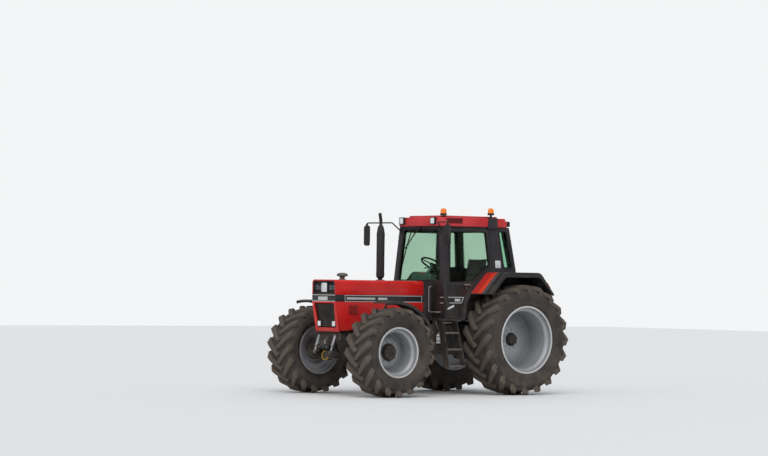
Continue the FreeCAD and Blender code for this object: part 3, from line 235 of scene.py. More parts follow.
@dataclass(frozen=True)
class Finish:
    """One surface finish and the material that shows it."""

    name: str
    slot: str
    color: Point
    second: Point
    rough: float
    metal: float = 0.0
    coat: float = 0.0
    woven: bool = False
    drift_scale: float = 2.2
    grain_scale: float = 300.0
    grain_height: float = 0.1
    coarse: float = 0.3
    dust: float = 0.4
    dust_color: Point = (0.23, 0.18, 0.13)
    dust_top: float = 1.7
    patch: float = 5.0
    transmission: float = 0.0
    ior: float = 1.45
    glow: float = 0.0
    shine: float = 0.26

    @cache
    def material(self) -> bpy.types.Material:
        """The finish's material, made at its first use.

        Returns:
            A material with a Principled shader and the shared effects that the finish names.
        """
        material = bpy.data.materials.new(self.name)
        material.use_nodes = True
        material.diffuse_color = (*self.color, 1.0)
        tree = material.node_tree
        shader = found(tree, "BSDF_PRINCIPLED")
        place = node(tree, "ShaderNodeTexCoord").outputs["Object"]
        tone = node(tree, "ShaderNodeGroup", {
            "Position": place, "Scale": self.drift_scale, "First": (*self.color, 1.0),
            "Second": (*self.second, 1.0),
        }, node_tree=drift_group())
        color = tone.outputs["Color"]
        level = node(tree, "ShaderNodeMapRange", {
            "Value": tone.outputs["Mask"], "To Min": self.rough,
            "To Max": min(1.0, self.rough + ROUGH_DRIFT),
        }).outputs[0]
        if self.woven:
            color = self.weave(tree, place, color)
        if self.dust > 0:
            dust = node(tree, "ShaderNodeGroup", {
                "Position": place, "High": self.dust_top, "Amount": self.dust, "Patch Size": self.patch,
            }, node_tree=dust_group())
            color = node(tree, "ShaderNodeMix", {"Factor": dust, "A": color, "B": (*self.dust_color, 1.0)},
                         data_type="RGBA").outputs["Result"]
            level = node(tree, "ShaderNodeMix", {"Factor": dust, "A": level, "B": DUST_ROUGH},
                         data_type="FLOAT").outputs["Result"]
        feed(tree, shader, {
            "Base Color": color, "Roughness": level, "Metallic": self.metal, "Coat Weight": self.coat,
            "Coat Roughness": COAT_ROUGH, "IOR": self.ior, "Specular IOR Level": self.shine,
            "Transmission Weight": self.transmission,
        })
        if self.glow:
            feed(tree, shader, {"Emission Color": color, "Emission Strength": self.glow})
        if self.grain_height > 0:
            grain = node(tree, "ShaderNodeGroup", {
                "Position": place, "Scale": self.grain_scale, "Coarse": self.coarse,
            }, node_tree=grain_group())
            bump = node(tree, "ShaderNodeBump", {
                "Strength": self.grain_height, "Distance": 0.004, "Height": grain,
            })
            feed(tree, shader, {"Normal": bump})
        return material

    @staticmethod
    def weave(tree: bpy.types.NodeTree, place: bpy.types.NodeSocket,
              color: bpy.types.NodeSocket) -> bpy.types.NodeSocket:
        """Crosses two fine wave patterns over a colour.

        Args:
            tree: the material's tree.
            place: the socket that holds the place on the surface.
            color: the socket that holds the plain colour.

        Returns:
            The socket with the woven colour.
        """
        waves = [node(tree, "ShaderNodeTexWave", {"Vector": place, "Scale": 90.0, "Distortion": 0.6},
                      bands_direction=way).outputs["Fac"] for way in "XZ"]
        cross = node(tree, "ShaderNodeMath", {0: waves[0], 1: waves[1]}, operation="MULTIPLY")
        return node(tree, "ShaderNodeMix", {"Factor": cross, "A": color, "B": WEAVE_COLOR},
                    data_type="RGBA").outputs["Result"]


RED = Finish("hood_red", "red_paint", (0.60, 0.012, 0.010), (0.50, 0.010, 0.010), 0.24, coat=0.2,
    grain_height=0.02, dust=0.3, dust_top=1.6)
ROOF_RED = Finish("roof_faded_red", "roof_red", (0.56, 0.040, 0.044), (0.44, 0.022, 0.026), 0.45,
    coat=0.05, grain_height=0.06, dust=0.25, dust_top=3.4, dust_color=(0.40, 0.22, 0.20))
# Darker copy of the roof's red for the louvred roof vents: painted shade in the slots.
VENT_SHADED_RED = Finish("vent_dark_red", "roof_red", (0.20, 0.012, 0.016), (0.14, 0.01, 0.012), 0.6, dust=0.2)
STRIPE_BLACK = Finish("stripe_black", "black_plastic", (0.013, 0.013, 0.015), (0.02, 0.02, 0.022), 0.30,
    coat=0.3, grain_height=0.02, dust=0.3, dust_top=1.6)
SATIN_BLACK = Finish("satin_black", "black_steel", (0.014, 0.014, 0.016), (0.024, 0.023, 0.023), 0.42,
    grain_height=0.08, dust=0.45)
CAB_GREY = Finish("cab_dark_grey", "cab_grey", (0.022, 0.020, 0.024), (0.030, 0.027, 0.032), 0.40,
    coat=0.05, grain_height=0.03, dust=0.3, dust_top=2.3)
DOOR_BLACK = Finish("door_black", "cab_grey", (0.008, 0.008, 0.009), (0.013, 0.012, 0.014), 0.30, coat=0.1,
    grain_height=0.03, dust=0.35, dust_top=2.0)
PLASTIC = Finish("fender_black", "black_plastic", (0.014, 0.014, 0.015), (0.024, 0.023, 0.023), 0.48,
    grain_height=0.15, dust=0.45, dust_top=2.3)
CAST = Finish("cast_dark_grey", "cast_grey", (0.045, 0.045, 0.048), (0.028, 0.028, 0.03), 0.62,
    grain_scale=120.0, grain_height=0.35, coarse=0.15, dust=0.8, dust_top=1.5)
SILVER = Finish("rim_silver", "rim_silver", (0.37, 0.38, 0.40), (0.29, 0.30, 0.32), 0.38, metal=0.45,
    coat=0.15, grain_height=0.04, dust=0.28, dust_top=2.4, patch=3.0, dust_color=(0.30, 0.26, 0.22))
# Paler copy of the rim silver for the outboard lip of each rim: a painted highlight where light catches the
# flange.
RIM_LIP_HIGHLIGHT = Finish("rim_pale_edge", "rim_silver", (0.60, 0.60, 0.60), (0.50, 0.50, 0.50), 0.32,
    metal=0.3, coat=0.2, grain_height=0.03, dust=0.2, dust_top=2.4)
TREAD = Finish("tread_dusty", "tyre_rubber", (0.105, 0.085, 0.070), (0.052, 0.045, 0.040), 0.86,
    drift_scale=9.0, grain_scale=160.0, grain_height=0.3, dust=0.5, dust_top=2.6,
    dust_color=(0.20, 0.155, 0.12), patch=9.0)
SIDEWALL = Finish("sidewall_dusty", "tyre_rubber", (0.036, 0.032, 0.030), (0.060, 0.050, 0.044), 0.82,
    drift_scale=4.0, grain_scale=220.0, grain_height=0.2, dust=0.45, dust_top=2.2,
    dust_color=(0.15, 0.12, 0.095), patch=4.0)
CHROME = Finish("plated_rod", "silver_steel", (0.36, 0.36, 0.37), (0.27, 0.27, 0.28), 0.28, metal=0.85,
    grain_height=0.0, dust=0.2)
SILVER_LINE = Finish("silver_line", "silver_steel", (0.62, 0.62, 0.60), (0.52, 0.52, 0.51), 0.35,
    metal=0.2, grain_height=0.0, dust=0.15)
SCREEN = Finish("screen_glass", "screen_glass", (0.50, 0.74, 0.60), (0.46, 0.70, 0.56), 0.02,
    grain_height=0.0, dust=0.0, transmission=1.0, ior=1.1, shine=0.5)
PANE = Finish("door_pane", "door_pane", (0.74, 0.77, 0.70), (0.70, 0.73, 0.66), 0.02, grain_height=0.0,
    dust=0.0, transmission=1.0, ior=1.1, shine=0.5)
SEAL = Finish("rubber_seal", "black_plastic", (0.010, 0.010, 0.010), (0.016, 0.016, 0.016), 0.7,
    grain_height=0.1, dust=0.3, dust_top=2.5)
AMBER = Finish("amber_lens", "amber_plastic", (0.90, 0.24, 0.01), (0.82, 0.20, 0.01), 0.18, coat=0.4,
    grain_height=0.0, dust=0.1, transmission=0.25, glow=0.12)
LENS = Finish("clear_lens", "lamp_plastic", (0.80, 0.82, 0.84), (0.70, 0.72, 0.74), 0.15, coat=0.5,
    grain_height=0.0, dust=0.1)
FABRIC = Finish("seat_cloth", "seat_fabric", (0.10, 0.10, 0.11), (0.13, 0.13, 0.145), 0.9, woven=True,
    grain_scale=500.0, grain_height=0.3, dust=0.15, dust_top=2.5)
CONSOLE = Finish("console_plastic", "black_plastic", (0.15, 0.16, 0.175), (0.12, 0.13, 0.14), 0.6,
    grain_height=0.2, dust=0.15, dust_top=2.5)
ORANGE = Finish("stripe_orange_red", "roof_red", (0.72, 0.055, 0.018), (0.62, 0.035, 0.018), 0.35,
    coat=0.3, grain_height=0.03, dust=0.25, dust_top=2.4)
BAND_GREY = Finish("band_grey", "black_plastic", (0.075, 0.075, 0.08), (0.055, 0.055, 0.06), 0.45,
    grain_height=0.1, dust=0.3, dust_top=2.4)
CAP_CLEAR = Finish("cap_cloudy", "clear_plastic", (0.085, 0.10, 0.088), (0.05, 0.062, 0.054), 0.25,
    coat=0.4, grain_height=0.0, dust=0.3, dust_top=3.0)
TREAD_GREY = Finish("step_grey", "black_steel", (0.16, 0.16, 0.165), (0.10, 0.10, 0.10), 0.5, metal=0.4,
    grain_height=0.3, dust=0.5)
YELLOW = Finish("guard_yellow", "black_steel", (0.60, 0.36, 0.02), (0.45, 0.27, 0.02), 0.45, dust=0.5)
MIRROR = Finish("mirror_glass", "silver_steel", (0.70, 0.74, 0.78), (0.66, 0.70, 0.74), 0.04, metal=1.0,
    grain_height=0.0, dust=0.0)
RAIL_GREY = Finish("rail_grey", "black_steel", (0.26, 0.25, 0.25), (0.18, 0.17, 0.17), 0.38, metal=0.5,
    grain_height=0.03, dust=0.3)
TAIL_RED = Finish("tail_lens", "lamp_plastic", (0.45, 0.01, 0.01), (0.36, 0.01, 0.01), 0.2, coat=0.4,
    grain_height=0.0, dust=0.15, dust_top=2.3)
# Darker copy of the hood's red for the side louvres: painted shade between the slats.
LOUVRE_SHADED_RED = Finish("louvre_red", "red_paint", (0.34, 0.010, 0.010), (0.28, 0.008, 0.008), 0.35, coat=0.3,
    grain_height=0.02, dust=0.35, dust_top=1.6)
LAMP_DARK = Finish("lamp_dark", "lamp_plastic", (0.16, 0.17, 0.19), (0.10, 0.11, 0.12), 0.08, coat=0.6,
    grain_height=0.0, dust=0.05)
ORANGE_DARK = Finish("stripe_red", "roof_red", (0.55, 0.018, 0.014), (0.46, 0.014, 0.012), 0.32, coat=0.35,
    grain_height=0.03, dust=0.3, dust_top=2.4)
PLATE = Finish("blank_plate", "lamp_plastic", (0.72, 0.73, 0.74), (0.62, 0.63, 0.65), 0.4,
    grain_height=0.02, dust=0.2, dust_top=2.2)


# Mesh making

PLANES = {
    "xz": lambda u, v, w: (u, w, v), "yz": lambda u, v, w: (w, u, v), "xy": lambda u, v, w: (u, v, w),
}


class Bench:
    """Tools that make and finish meshes, all in the model's frame."""

    @staticmethod
    def piece(name: str, verts: list, faces: list, finish: Finish, body: str, sharp: float = SHARP_ANGLE):
        """Makes a mesh piece, points its faces outwards and rides it on a body.

        Args:
            name: the piece's name.
            verts: corner places.
            faces: lists of corner numbers.
            finish: the finish of all its faces.
            body: the body that it moves with.
            sharp: the edge angle in degrees above which an edge stays sharp.

        Returns:
            The new object.
        """
        mesh = bpy.data.meshes.new(name)
        mesh.from_pydata([tuple(v) for v in verts], [], faces)
        made = bpy.data.objects.new(name, mesh)
        bpy.context.scene.collection.objects.link(made)
        Bench.clean(mesh, sharp)
        mesh.materials.append(finish.material())
        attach(made, body)
        return made

    @staticmethod
    def clean(mesh: bpy.types.Mesh, sharp: float, merge: float = 1e-5, outward: bool = True) -> None:
        """Merges doubles, turns faces outwards and shades smooth with sharp edges kept.

        Args:
            mesh: the mesh to finish.
            sharp: the edge angle in degrees above which an edge stays sharp.
            merge: how near two corners are to be one.
            outward: whether the faces' directions are worked out anew.
        """
        work = bmesh.new()
        work.from_mesh(mesh)
        bmesh.ops.remove_doubles(work, verts=work.verts, dist=merge)
        if outward:
            bmesh.ops.recalc_face_normals(work, faces=work.faces)
        limit = math.radians(sharp)
        for face in work.faces:
            face.smooth = True
        for edge in work.edges:
            edge.smooth = not (len(edge.link_faces) == 2 and edge.calc_face_angle(0.0) > limit)
        work.to_mesh(mesh)
        work.free()
        mesh.update()

    @staticmethod
    def settle(made: bpy.types.Object, sharp: float = SHARP_ANGLE) -> bpy.types.Object:
        """Turns a piece's modifiers into plain mesh and drops them.

        Args:
            made: the object with live modifiers.
            sharp: the edge angle in degrees above which an edge stays sharp.

        Returns:
            The same object, with no modifiers.
        """
        bpy.context.view_layer.update()
        graph = bpy.context.evaluated_depsgraph_get()
        result = bpy.data.meshes.new_from_object(made.evaluated_get(graph), depsgraph=graph)
        old = made.data
        made.modifiers.clear()
        made.data = result
        bpy.data.meshes.remove(old)
        result.name = made.name
        Bench.clean(result, sharp, outward=False)
        return made

    @staticmethod
    def bevel(made: bpy.types.Object, width: float, segments: int = 2,
              angle: float = 30.0) -> bpy.types.Object:
        """Rounds a piece's sharp edges.

        Args:
            made: the object.
            width: the rounding's width.
            segments: how many strips make it.
            angle: the edge angle in degrees above which an edge is rounded.

        Returns:
            The same object with the rounding in its mesh.
        """
        rounding = made.modifiers.new("edge rounding", "BEVEL")
        rounding.width = width
        rounding.segments = segments
        rounding.limit_method = "ANGLE"
        rounding.angle_limit = math.radians(angle)
        rounding.harden_normals = False
        rounding.use_clamp_overlap = True
        return Bench.settle(made)

    @staticmethod
    def box(name: str, low: Vector, high: Vector, finish: Finish, body: str, round_by: float = 0.004):
        """A block with rounded edges between two corners.

        Args:
            name: the piece's name.
            low: its lowest corner.
            high: its highest corner.
            finish: its finish.
            body: the body that it moves with.
            round_by: the width of its edge rounding.

        Returns:
            The new object.
        """
        verts = [(x, y, z) for x in (low[0], high[0]) for y in (low[1], high[1]) for z in (low[2],
                                                                                           high[2])]
        made = Bench.piece(name, verts, BOX_FACES, finish, body)
        return Bench.bevel(made, round_by) if round_by else made

    @staticmethod
    def rounded(points: list, steps: int = 5) -> Profile:
        """An outline with arcs at the corners that give a radius.

        Args:
            points: corners (u, v) or (u, v, radius).
            steps: how many chords make an arc.

        Returns:
            The outline's points.
        """
        result: Profile = []
        count = len(points)
        for i, point in enumerate(points):
            here = Vector(point[:2])
            if len(point) == 2:
                result.append(tuple(here))
                continue
            back = (Vector(points[i - 1][:2]) - here).normalized()
            ahead = (Vector(points[(i + 1) % count][:2]) - here).normalized()
            half = back.angle(ahead) / 2
            centre = here + (back + ahead).normalized() * (point[2] / math.sin(half))
            start = here + back * (point[2] / math.tan(half)) - centre
            end = here + ahead * (point[2] / math.tan(half)) - centre
            for k in range(steps + 1):
                spot = start.lerp(end, k / steps).normalized() * point[2]
                result.append(tuple(centre + spot))
        return result

    @staticmethod
    def plate(name: str, points: list, span: Span, plane: str, finish: Finish, body: str,
              round_by: float = 0.002):
        """A flat plate cut to an outline.

        Args:
            name: the piece's name.
            points: the outline's corners, in metres, each with a radius where it is rounded.
            span: where the plate starts and ends across its plane.
            plane: "xz", "yz" or "xy".
            finish: its finish.
            body: the body that it moves with.
            round_by: the width of its edge rounding.

        Returns:
            The new object.
        """
        outline = Bench.rounded(points)
        verts = [PLANES[plane](u, v, w) for w in span for u, v in outline]
        count = len(outline)
        faces = [list(range(count)), list(range(2 * count - 1, count - 1, -1))]
        faces += [[i, i + count, (i + 1) % count + count, (i + 1) % count] for i in range(count)]
        made = Bench.piece(name, verts, faces, finish, body)
        return Bench.bevel(made, round_by, 2, 50.0) if round_by else made

    @staticmethod
    def spin(name: str, profile: Profile, centre: Vector, finish: Finish, body: str, axis: str = "y",
             segments: int = 96, closed: bool = True, sharp: float = SHARP_ANGLE):
        """A turned piece.

        Args:
            name: the piece's name.
            profile: places along the axis and distances from it.
            centre: a point on the axis.
            finish: its finish.
            body: the body that it moves with.
            axis: "x", "y" or "z".
            segments: how many steps go round.
            closed: whether the profile's end joins its start.
            sharp: the edge angle in degrees above which an edge stays sharp.

        Returns:
            The new object.
        """
        verts = []
        for k in range(segments):
            turn = 2 * math.pi * k / segments
            c, s = math.cos(turn), math.sin(turn)
            for along, radius in profile:
                spot = {"x": (along, radius * c, radius * s), "y": (radius * c, along, radius * s),
                        "z": (radius * c, radius * s, along)}[axis]
                verts.append(Vector(spot) + centre)
        count = len(profile)
        rows = count if closed else count - 1
        faces = []
        for k in range(segments):
            near, far = k * count, (k + 1) % segments * count
            for i in range(rows):
                j = (i + 1) % count
                faces.append([near + i, near + j, far + j, far + i])
        made = Bench.piece(name, verts, faces, finish, body, sharp)
        return made

    @staticmethod
    def tube(name: str, points: list[Vector], bend: float, radius: float, finish: Finish, body: str,
             sides: int = 16):
        """A round bar bent through straight runs.

        Args:
            name: the piece's name.
            points: its corners.
            bend: the bend radius at each corner.
            radius: the bar's radius.
            finish: its finish.
            body: the body that it moves with.
            sides: how many faces go round it.

        Returns:
            The new object.
        """
        path = [points[0]]
        for i in range(1, len(points) - 1):
            back = (points[i - 1] - points[i]).normalized()
            ahead = (points[i + 1] - points[i]).normalized()
            half = back.angle(ahead) / 2
            reach = bend / math.tan(half)
            centre = points[i] + (back + ahead).normalized() * (bend / math.sin(half))
            start, end = points[i] + back * reach - centre, points[i] + ahead * reach - centre
            path += [centre + start.lerp(end, k / 7).normalized() * bend for k in range(8)]
        path.append(points[-1])
        verts, faces = [], []
        side = (path[1] - path[0]).orthogonal().normalized()
        for i, spot in enumerate(path):
            ahead = (path[min(i + 1, len(path) - 1)] - path[max(i - 1, 0)]).normalized()
            side = (side - ahead * side.dot(ahead)).normalized()
            other = ahead.cross(side)
            for k in range(sides):
                turn = 2 * math.pi * k / sides
                verts.append(spot + (side * math.cos(turn) + other * math.sin(turn)) * radius)
        for i in range(len(path) - 1):
            for k in range(sides):
                j = (k + 1) % sides
                faces.append([i * sides + k, i * sides + j, (i + 1) * sides + j, (i + 1) * sides + k])
        faces.append(list(range(sides)))
        faces.append([len(verts) - 1 - k for k in range(sides)])
        return Bench.piece(name, verts, faces, finish, body)

    @staticmethod
    def ring_plate(name: str, outer: list, inner: list, span: Span, plane: str, finish: Finish,
                   body: str):
        """A flat ring between two outlines that have the same corners.

        Args:
            name: the piece's name.
            outer: the outer outline's corners, in metres.
            inner: the inner outline's corners.
            span: where the ring starts and ends across its plane.
            plane: "xz", "yz" or "xy".
            finish: its finish.
            body: the body that it moves with.

        Returns:
            The new object.
        """
        rings = [Bench.rounded(outer), Bench.rounded(inner)]
        verts = [PLANES[plane](u, v, w) for ring in rings for w in span for u, v in ring]
        count = len(rings[0])
        faces = []
        for i in range(count):
            j = (i + 1) % count
            for a, b in ((0, 1), (1, 3), (3, 2), (2, 0)):
                faces.append([a * count + i, a * count + j, b * count + j, b * count + i])
        return Bench.piece(name, verts, faces, finish, body)

    @staticmethod
    def strip(name: str, path: Profile, across: Span, lift: Span, finish: Finish,
              body: str):
        """A thin band that follows a line in side view, from one Y to another.

        Args:
            name: the piece's name.
            path: the line's points (x, z), in metres, with the outside on its right.
            across: the band's two edges in Y.
            lift: how far its inner and outer skin stand off the line.
            finish: its finish.
            body: the body that it moves with.

        Returns:
            The new object.
        """
        verts = []
        for i, (x, z) in enumerate(path):
            back, ahead = path[max(0, i - 1)], path[min(len(path) - 1, i + 1)]
            along = Vector((ahead[0] - back[0], ahead[1] - back[1])).normalized()
            for off in lift:
                verts += [(x + along[1] * off, y, z - along[0] * off) for y in across]
        faces = [[0, 1, 3, 2], [len(verts) - 4, len(verts) - 2, len(verts) - 1, len(verts) - 3]]
        for i in range(len(path) - 1):
            for a, b in ((0, 1), (1, 3), (3, 2), (2, 0)):
                faces.append([4 * i + a, 4 * i + b, 4 * i + 4 + b, 4 * i + 4 + a])
        return Bench.piece(name, verts, faces, finish, body)

    @staticmethod
    def loose(verts: list, faces: list) -> bpy.types.Object:
        """A plain part for the repeating trees to copy.

        Args:
            verts: corner places.
            faces: lists of corner numbers.

        Returns:
            The new object, which rides on nothing.
        """
        mesh = bpy.data.meshes.new("part")
        mesh.from_pydata([tuple(v) for v in verts], [], faces)
        Bench.clean(mesh, 30.0)
        part = bpy.data.objects.new("part", mesh)
        bpy.context.scene.collection.objects.link(part)
        return part

    @staticmethod
    def block(size: Point) -> bpy.types.Object:
        """A plain block about the origin for the repeating trees to copy.

        Args:
            size: its length along X, Y and Z.

        Returns:
            The new object, which rides on nothing.
        """
        a, b, c = (s / 2 for s in size)
        verts = [(x, y, z) for x in (-a, a) for y in (-b, b) for z in (-c, c)]
        return Bench.bevel(Bench.loose(verts, BOX_FACES), min(a, b, c) * 0.5, 2)

    @staticmethod
    def warp(made: bpy.types.Object, place) -> bpy.types.Object:
        """Moves each corner of a piece.

        Args:
            made: the object.
            place: a function from a corner's place to its new one.

        Returns:
            The same object.
        """
        for vertex in made.data.vertices:
            vertex.co = place(vertex.co)
        made.data.update()
        return made

    @staticmethod
    def dress(node: str, finish: Finish, round_by: float = 0.004, segments: int = 2, angle: float = 32.0):
        """A CAD node with its edges rounded, in place of the plain one.

        Args:
            node: the CAD node's name.
            finish: its finish.
            round_by: the width of its edge rounding.
            segments: how many strips make the rounding.
            angle: the edge angle in degrees above which an edge is rounded.

        Returns:
            The new object.
        """
        source = FRAME["nodes"][node]
        mesh = source.data.copy()
        mesh.materials.clear()
        made = bpy.data.objects.new(node + "_shape", mesh)
        bpy.context.scene.collection.objects.link(made)
        work = bmesh.new()
        work.from_mesh(mesh)
        bmesh.ops.remove_doubles(work, verts=work.verts, dist=2e-5)
        bmesh.ops.dissolve_limit(work, angle_limit=math.radians(1.2), verts=work.verts, edges=work.edges)
        work.to_mesh(mesh)
        work.free()
        mesh.materials.append(finish.material())
        rounding = made.modifiers.new("edge rounding", "BEVEL")
        rounding.width = round_by
        rounding.segments = segments
        rounding.limit_method = "ANGLE"
        rounding.angle_limit = math.radians(angle)
        rounding.use_clamp_overlap = True
        Bench.settle(made)
        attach(made, source["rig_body"])
        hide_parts(node)
        return made

    @staticmethod
    def paint(node: str, finish: Finish) -> None:
        """Gives a CAD node that stays as it is its finish.

        Args:
            node: the CAD node's name.
            finish: its finish.
        """
        target = FRAME["nodes"][node]
        target.data.materials.clear()
        target.data.materials.append(finish.material())


class Repeater:
    """Geometry Nodes trees that set copies of a part round a ring or along a line."""

    def __init__(self) -> None:
        """Starts with no trees."""
        self.trees: dict[str, bpy.types.GeometryNodeTree] = {}

    @staticmethod
    def _sockets(tree, rows: list[tuple[str, str]]) -> None:
        """Adds named input sockets and the geometry output to a tree."""
        for label, kind in rows:
            tree.interface.new_socket(label, in_out="INPUT", socket_type=kind)
        tree.interface.new_socket("Geometry", in_out="OUTPUT", socket_type="NodeSocketGeometry")

    def ring(self) -> bpy.types.GeometryNodeTree:
        """Copies of a part round the Y axis through a centre.

        Returns:
            A tree with inputs Part, Count, Phase, Centre and Finish.
        """
        if "ring" in self.trees:
            return self.trees["ring"]
        tree = bpy.data.node_groups.new("ring_of_parts", "GeometryNodeTree")
        self._sockets(tree, [("Part", "NodeSocketObject"), ("Count", "NodeSocketInt"),
                             ("Phase", "NodeSocketFloat"),
                             ("Centre", "NodeSocketVector"), ("Finish", "NodeSocketMaterial")])
        nodes, links = tree.nodes, tree.links
        source, sink = nodes.new("NodeGroupInput"), nodes.new("NodeGroupOutput")
        points = nodes.new("GeometryNodePoints")
        links.new(source.outputs["Count"], points.inputs["Count"])
        links.new(source.outputs["Centre"], points.inputs["Position"])
        part = nodes.new("GeometryNodeObjectInfo")
        links.new(source.outputs["Part"], part.inputs["Object"])
        index = nodes.new("GeometryNodeInputIndex")
        step = nodes.new("ShaderNodeMath")
        step.operation = "DIVIDE"
        step.inputs[0].default_value = 2 * math.pi
        links.new(source.outputs["Count"], step.inputs[1])
        turn = nodes.new("ShaderNodeMath")
        turn.operation = "MULTIPLY_ADD"
        links.new(index.outputs[0], turn.inputs[0])
        links.new(step.outputs[0], turn.inputs[1])
        links.new(source.outputs["Phase"], turn.inputs[2])
        angles = nodes.new("ShaderNodeCombineXYZ")
        links.new(turn.outputs[0], angles.inputs["Y"])
        copies = nodes.new("GeometryNodeInstanceOnPoints")
        links.new(points.outputs[0], copies.inputs["Points"])
        links.new(part.outputs["Geometry"], copies.inputs["Instance"])
        links.new(angles.outputs[0], copies.inputs["Rotation"])
        self._end(tree, copies, source, sink)
        self.trees["ring"] = tree
        return tree

    def row(self) -> bpy.types.GeometryNodeTree:
        """Copies of a part along a straight line.

        Returns:
            A tree with inputs Part, Count, Start, Step and Finish.
        """
        if "row" in self.trees:
            return self.trees["row"]
        tree = bpy.data.node_groups.new("row_of_parts", "GeometryNodeTree")
        self._sockets(tree, [("Part", "NodeSocketObject"), ("Count", "NodeSocketInt"),
                             ("Start", "NodeSocketVector"),
                             ("Step", "NodeSocketVector"), ("Finish", "NodeSocketMaterial")])
        nodes, links = tree.nodes, tree.links
        source, sink = nodes.new("NodeGroupInput"), nodes.new("NodeGroupOutput")
        line = nodes.new("GeometryNodeMeshLine")
        links.new(source.outputs["Count"], line.inputs["Count"])
        links.new(source.outputs["Start"], line.inputs["Start Location"])
        links.new(source.outputs["Step"], line.inputs["Offset"])
        part = nodes.new("GeometryNodeObjectInfo")
        links.new(source.outputs["Part"], part.inputs["Object"])
        copies = nodes.new("GeometryNodeInstanceOnPoints")
        links.new(line.outputs[0], copies.inputs["Points"])
        links.new(part.outputs["Geometry"], copies.inputs["Instance"])
        self._end(tree, copies, source, sink)
        self.trees["row"] = tree
        return tree

    @staticmethod
    def _end(tree, copies, source, sink) -> None:
        """Realises the copies and sets their material."""
        real = tree.nodes.new("GeometryNodeRealizeInstances")
        tree.links.new(copies.outputs[0], real.inputs[0])
        dressed = tree.nodes.new("GeometryNodeSetMaterial")
        tree.links.new(real.outputs[0], dressed.inputs["Geometry"])
        tree.links.new(source.outputs["Finish"], dressed.inputs["Material"])
        tree.links.new(dressed.outputs[0], sink.inputs[0])

    def run(self, tree: bpy.types.GeometryNodeTree, name: str, part: bpy.types.Object, finish: Finish,
            body: str,
            **values) -> bpy.types.Object:
        """Runs a tree once and keeps the result as a plain mesh.

        Args:
            tree: the tree to run.
            name: the new piece's name.
            part: the object to repeat, which is removed afterwards.
            finish: the copies' finish.
            body: the body that they move with.
            **values: the tree's other inputs by name.

        Returns:
            The new object.
        """
        made = bpy.data.objects.new(name, bpy.data.meshes.new(name))
        bpy.context.scene.collection.objects.link(made)
        modifier = made.modifiers.new("repeat", "NODES")
        modifier.node_group = tree
        given = {"Part": part, "Finish": finish.material(), **values}
        for socket in tree.interface.items_tree:
            if socket.in_out == "INPUT":
                modifier[socket.identifier] = given[socket.name]
        Bench.settle(made)
        bpy.data.objects.remove(part)
        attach(made, body)
        return made


REPEAT = Repeater()
FRAME: dict = {}


# Wheels

class Side(Enum):
    """Which side of the tractor a piece is on; the value is the sign of Y."""

    LEFT = 1
    RIGHT = -1

    @property
    def word(self) -> str:
        """The side's name in node names."""
        return self.name.lower()


